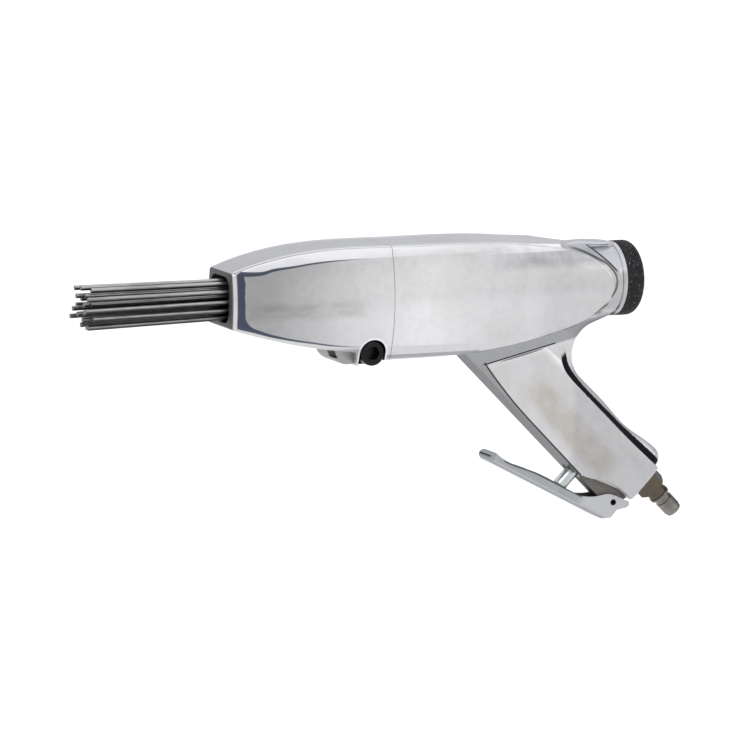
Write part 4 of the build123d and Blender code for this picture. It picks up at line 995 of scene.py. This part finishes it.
def set_camera(scene):
    camera = bpy.data.objects.new("camera", bpy.data.cameras.new("camera"))
    scene.collection.objects.link(camera)
    turn, lift = math.radians(camera_turn), math.radians(camera_lift)
    back = Vector(
        (math.sin(turn) * math.cos(lift), -math.cos(turn) * math.cos(lift), math.sin(lift))
    )
    roll = Matrix.Rotation(math.radians(camera_roll), 3, "Z")
    camera.location = stage_middle + back * camera_distance
    camera.rotation_mode = "QUATERNION"
    camera.rotation_quaternion = (back.to_track_quat("Z", "Y").to_matrix() @ roll).to_quaternion()
    camera.data.sensor_width = sensor_width
    camera.data.lens = lens_per_width * sensor_width
    camera.data.clip_end = 40
    scene.camera = camera


def hang_lamps(scene):
    for name, place, size, power in lamps:
        lamp = bpy.data.lights.new(name, "AREA")
        lamp.shape = "DISK"
        lamp.size = size
        lamp.energy = power
        holder = bpy.data.objects.new(name, lamp)
        scene.collection.objects.link(holder)
        holder.location = place
        holder.rotation_mode = "QUATERNION"
        holder.rotation_quaternion = (Vector(place) - stage_middle).to_track_quat("Z", "Y")


# ------------------------------------------------------------------ operators
class SCALER_OT_stage(bpy.types.Operator):
    """Adds the floor, the studio light and the camera"""

    bl_idname = "scaler.stage"
    bl_label = "Stage"

    def execute(self, context):
        scene = context.scene
        lay_floor(scene.scaler)
        light_room(scene)
        set_camera(scene)
        hang_lamps(scene)
        scene.view_settings.view_transform = "Standard"
        return {"FINISHED"}


class SCALER_OT_castings(bpy.types.Operator):
    """Finishes the body and the front case as polished, worn castings"""

    bl_idname = "scaler.castings"
    bl_label = "Castings"

    def execute(self, context):
        apply_material(("front_case", "main_body"), casting_material(context.scene.scaler))
        return {"FINISHED"}


class SCALER_OT_needles(bpy.types.Operator):
    """Finishes the needles as drawn steel, painted lighter on top and with painted shade underneath"""

    bl_idname = "scaler.needles"
    bl_label = "Needles"

    def execute(self, context):
        apply_material(("needles",), needle_material(context.scene.scaler))
        return {"FINISHED"}


class SCALER_OT_lever(bpy.types.Operator):
    """Finishes the throttle lever, its pin, the plunger and the clamp bolt"""

    bl_idname = "scaler.lever"
    bl_label = "Lever and plunger"

    def execute(self, context):
        lever = lever_material(context.scene.scaler)
        zinc = worn_metal("zinc_steel", (0.55, 0.60, 0.59), (0.3, 0.36, 0.36), 0.24)
        black = worn_metal("black_steel", (0.02, 0.02, 0.022), (0.06, 0.06, 0.06), 0.32)
        apply_material(("throttle_lever",), lever)
        apply_material(("throttle_plunger",), zinc)
        apply_material(("lever_pin", "clamp_bolt"), black)
        return {"FINISHED"}


class SCALER_OT_cap(bpy.types.Operator):
    """Finishes the rubber cover of the end cap"""

    bl_idname = "scaler.cap"
    bl_label = "Cap cover"

    def execute(self, context):
        apply_material(("cap_cover",), rubber_material(context.scene.scaler))
        return {"FINISHED"}


class SCALER_OT_inlet(bpy.types.Operator):
    """Finishes the air plug, its washer and the filter"""

    bl_idname = "scaler.inlet"
    bl_label = "Air inlet"

    def execute(self, context):
        plug = plug_material(context.scene.scaler)
        copper = worn_metal("copper", (0.5, 0.33, 0.22), (0.2, 0.12, 0.08), 0.4)
        sintered = worn_metal("sintered_bronze", (0.5, 0.38, 0.2), (0.25, 0.18, 0.1), 0.6)
        apply_material(("inlet_plug",), plug)
        apply_material(("inlet_washer",), copper)
        apply_material(("inlet_filter",), sintered)
        return {"FINISHED"}


steel_names = (
    "needle_holder", "anvil", "piston", "cylinder", "valve_plate", "valve_cover", "valve_disc",
    "valve_dowel", "end_cap",
)
bronze_names = ("anvil_bush", "valve_seat", "throttle_valve")
seal_names = ("cylinder_orings", "cap_oring", "plunger_oring", "valve_face", "cushion_ring")


class SCALER_OT_works(bpy.types.Operator):
    """Finishes the striking parts, valves, guides and seals inside"""

    bl_idname = "scaler.works"
    bl_label = "Inner works"

    def execute(self, context):
        steel = worn_metal("tool_steel", (0.5, 0.5, 0.52), (0.3, 0.29, 0.27), 0.3)
        bronze = worn_metal("bronze", (0.55, 0.4, 0.2), (0.3, 0.2, 0.1), 0.35)
        tarnished = worn_metal("tarnished_bronze", (0.34, 0.32, 0.28), (0.14, 0.12, 0.10), 0.4)
        apply_material(steel_names, steel)
        apply_material(bronze_names, bronze)
        apply_material(("plunger_guide",), tarnished)
        apply_material(seal_names, seal_material())
        return {"FINISHED"}


# Each spring, the joint that presses it, and which way along that joint its fixed end lies:
# the holder spring stands on the mouth in front, the throttle spring on its chamber's end
springs = (
    ("holder_spring", "needle_pack_slide", -1),
    ("throttle_spring", "poppet_slide", 1),
)


class SCALER_OT_springs(bpy.types.Operator):
    """Adds a copy of each of the two coil springs, held on the body in place of the packed ones"""

    bl_idname = "scaler.springs"
    bl_label = "Springs"

    def execute(self, context):
        material = worn_metal("spring_steel", (0.28, 0.28, 0.3), (0.15, 0.14, 0.13), 0.35)
        for node, joint, towards_end in springs:
            source = nodes[node]
            mesh = source.data.copy()
            mesh.transform(source.matrix_world)
            coil = bpy.data.objects.new(node + "_coil", mesh)
            context.scene.collection.objects.link(coil)
            coil.data.materials.clear()
            coil.data.materials.append(material)
            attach(coil, "body")
            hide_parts(node)
            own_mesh(coil)
        return {"FINISHED"}


class SCALER_PT_panel(bpy.types.Panel):
    bl_label = "Needle scaler"
    bl_idname = "SCALER_PT_panel"
    bl_space_type = "VIEW_3D"
    bl_region_type = "UI"
    bl_category = "Scaler"

    def draw(self, context):
        settings = context.scene.scaler
        for name in settings.bl_rna.properties.keys():
            if name not in {"rna_type", "name"}:
                self.layout.prop(settings, name)
        for operator in making_order:
            self.layout.operator(operator.bl_idname)


making_order = (
    SCALER_OT_stage,
    SCALER_OT_castings,
    SCALER_OT_needles,
    SCALER_OT_lever,
    SCALER_OT_cap,
    SCALER_OT_inlet,
    SCALER_OT_works,
    SCALER_OT_springs,
)


def register():
    bpy.utils.register_class(ScalerSettings)
    for operator in making_order:
        bpy.utils.register_class(operator)
    bpy.utils.register_class(SCALER_PT_panel)
    bpy.types.Scene.scaler = PointerProperty(type=ScalerSettings)


def unregister():
    del bpy.types.Scene.scaler
    bpy.utils.unregister_class(SCALER_PT_panel)
    for operator in reversed(making_order):
        bpy.utils.unregister_class(operator)
    bpy.utils.unregister_class(ScalerSettings)


def main():
    register()
    shared["handling"] = make_handling_group()
    shared["grip"] = make_grip_group()
    bpy.ops.scaler.stage()
    bpy.ops.scaler.castings()
    bpy.ops.scaler.needles()
    bpy.ops.scaler.lever()
    bpy.ops.scaler.cap()
    bpy.ops.scaler.inlet()
    bpy.ops.scaler.works()
    bpy.ops.scaler.springs()


if __name__ == "__main__":
    main()
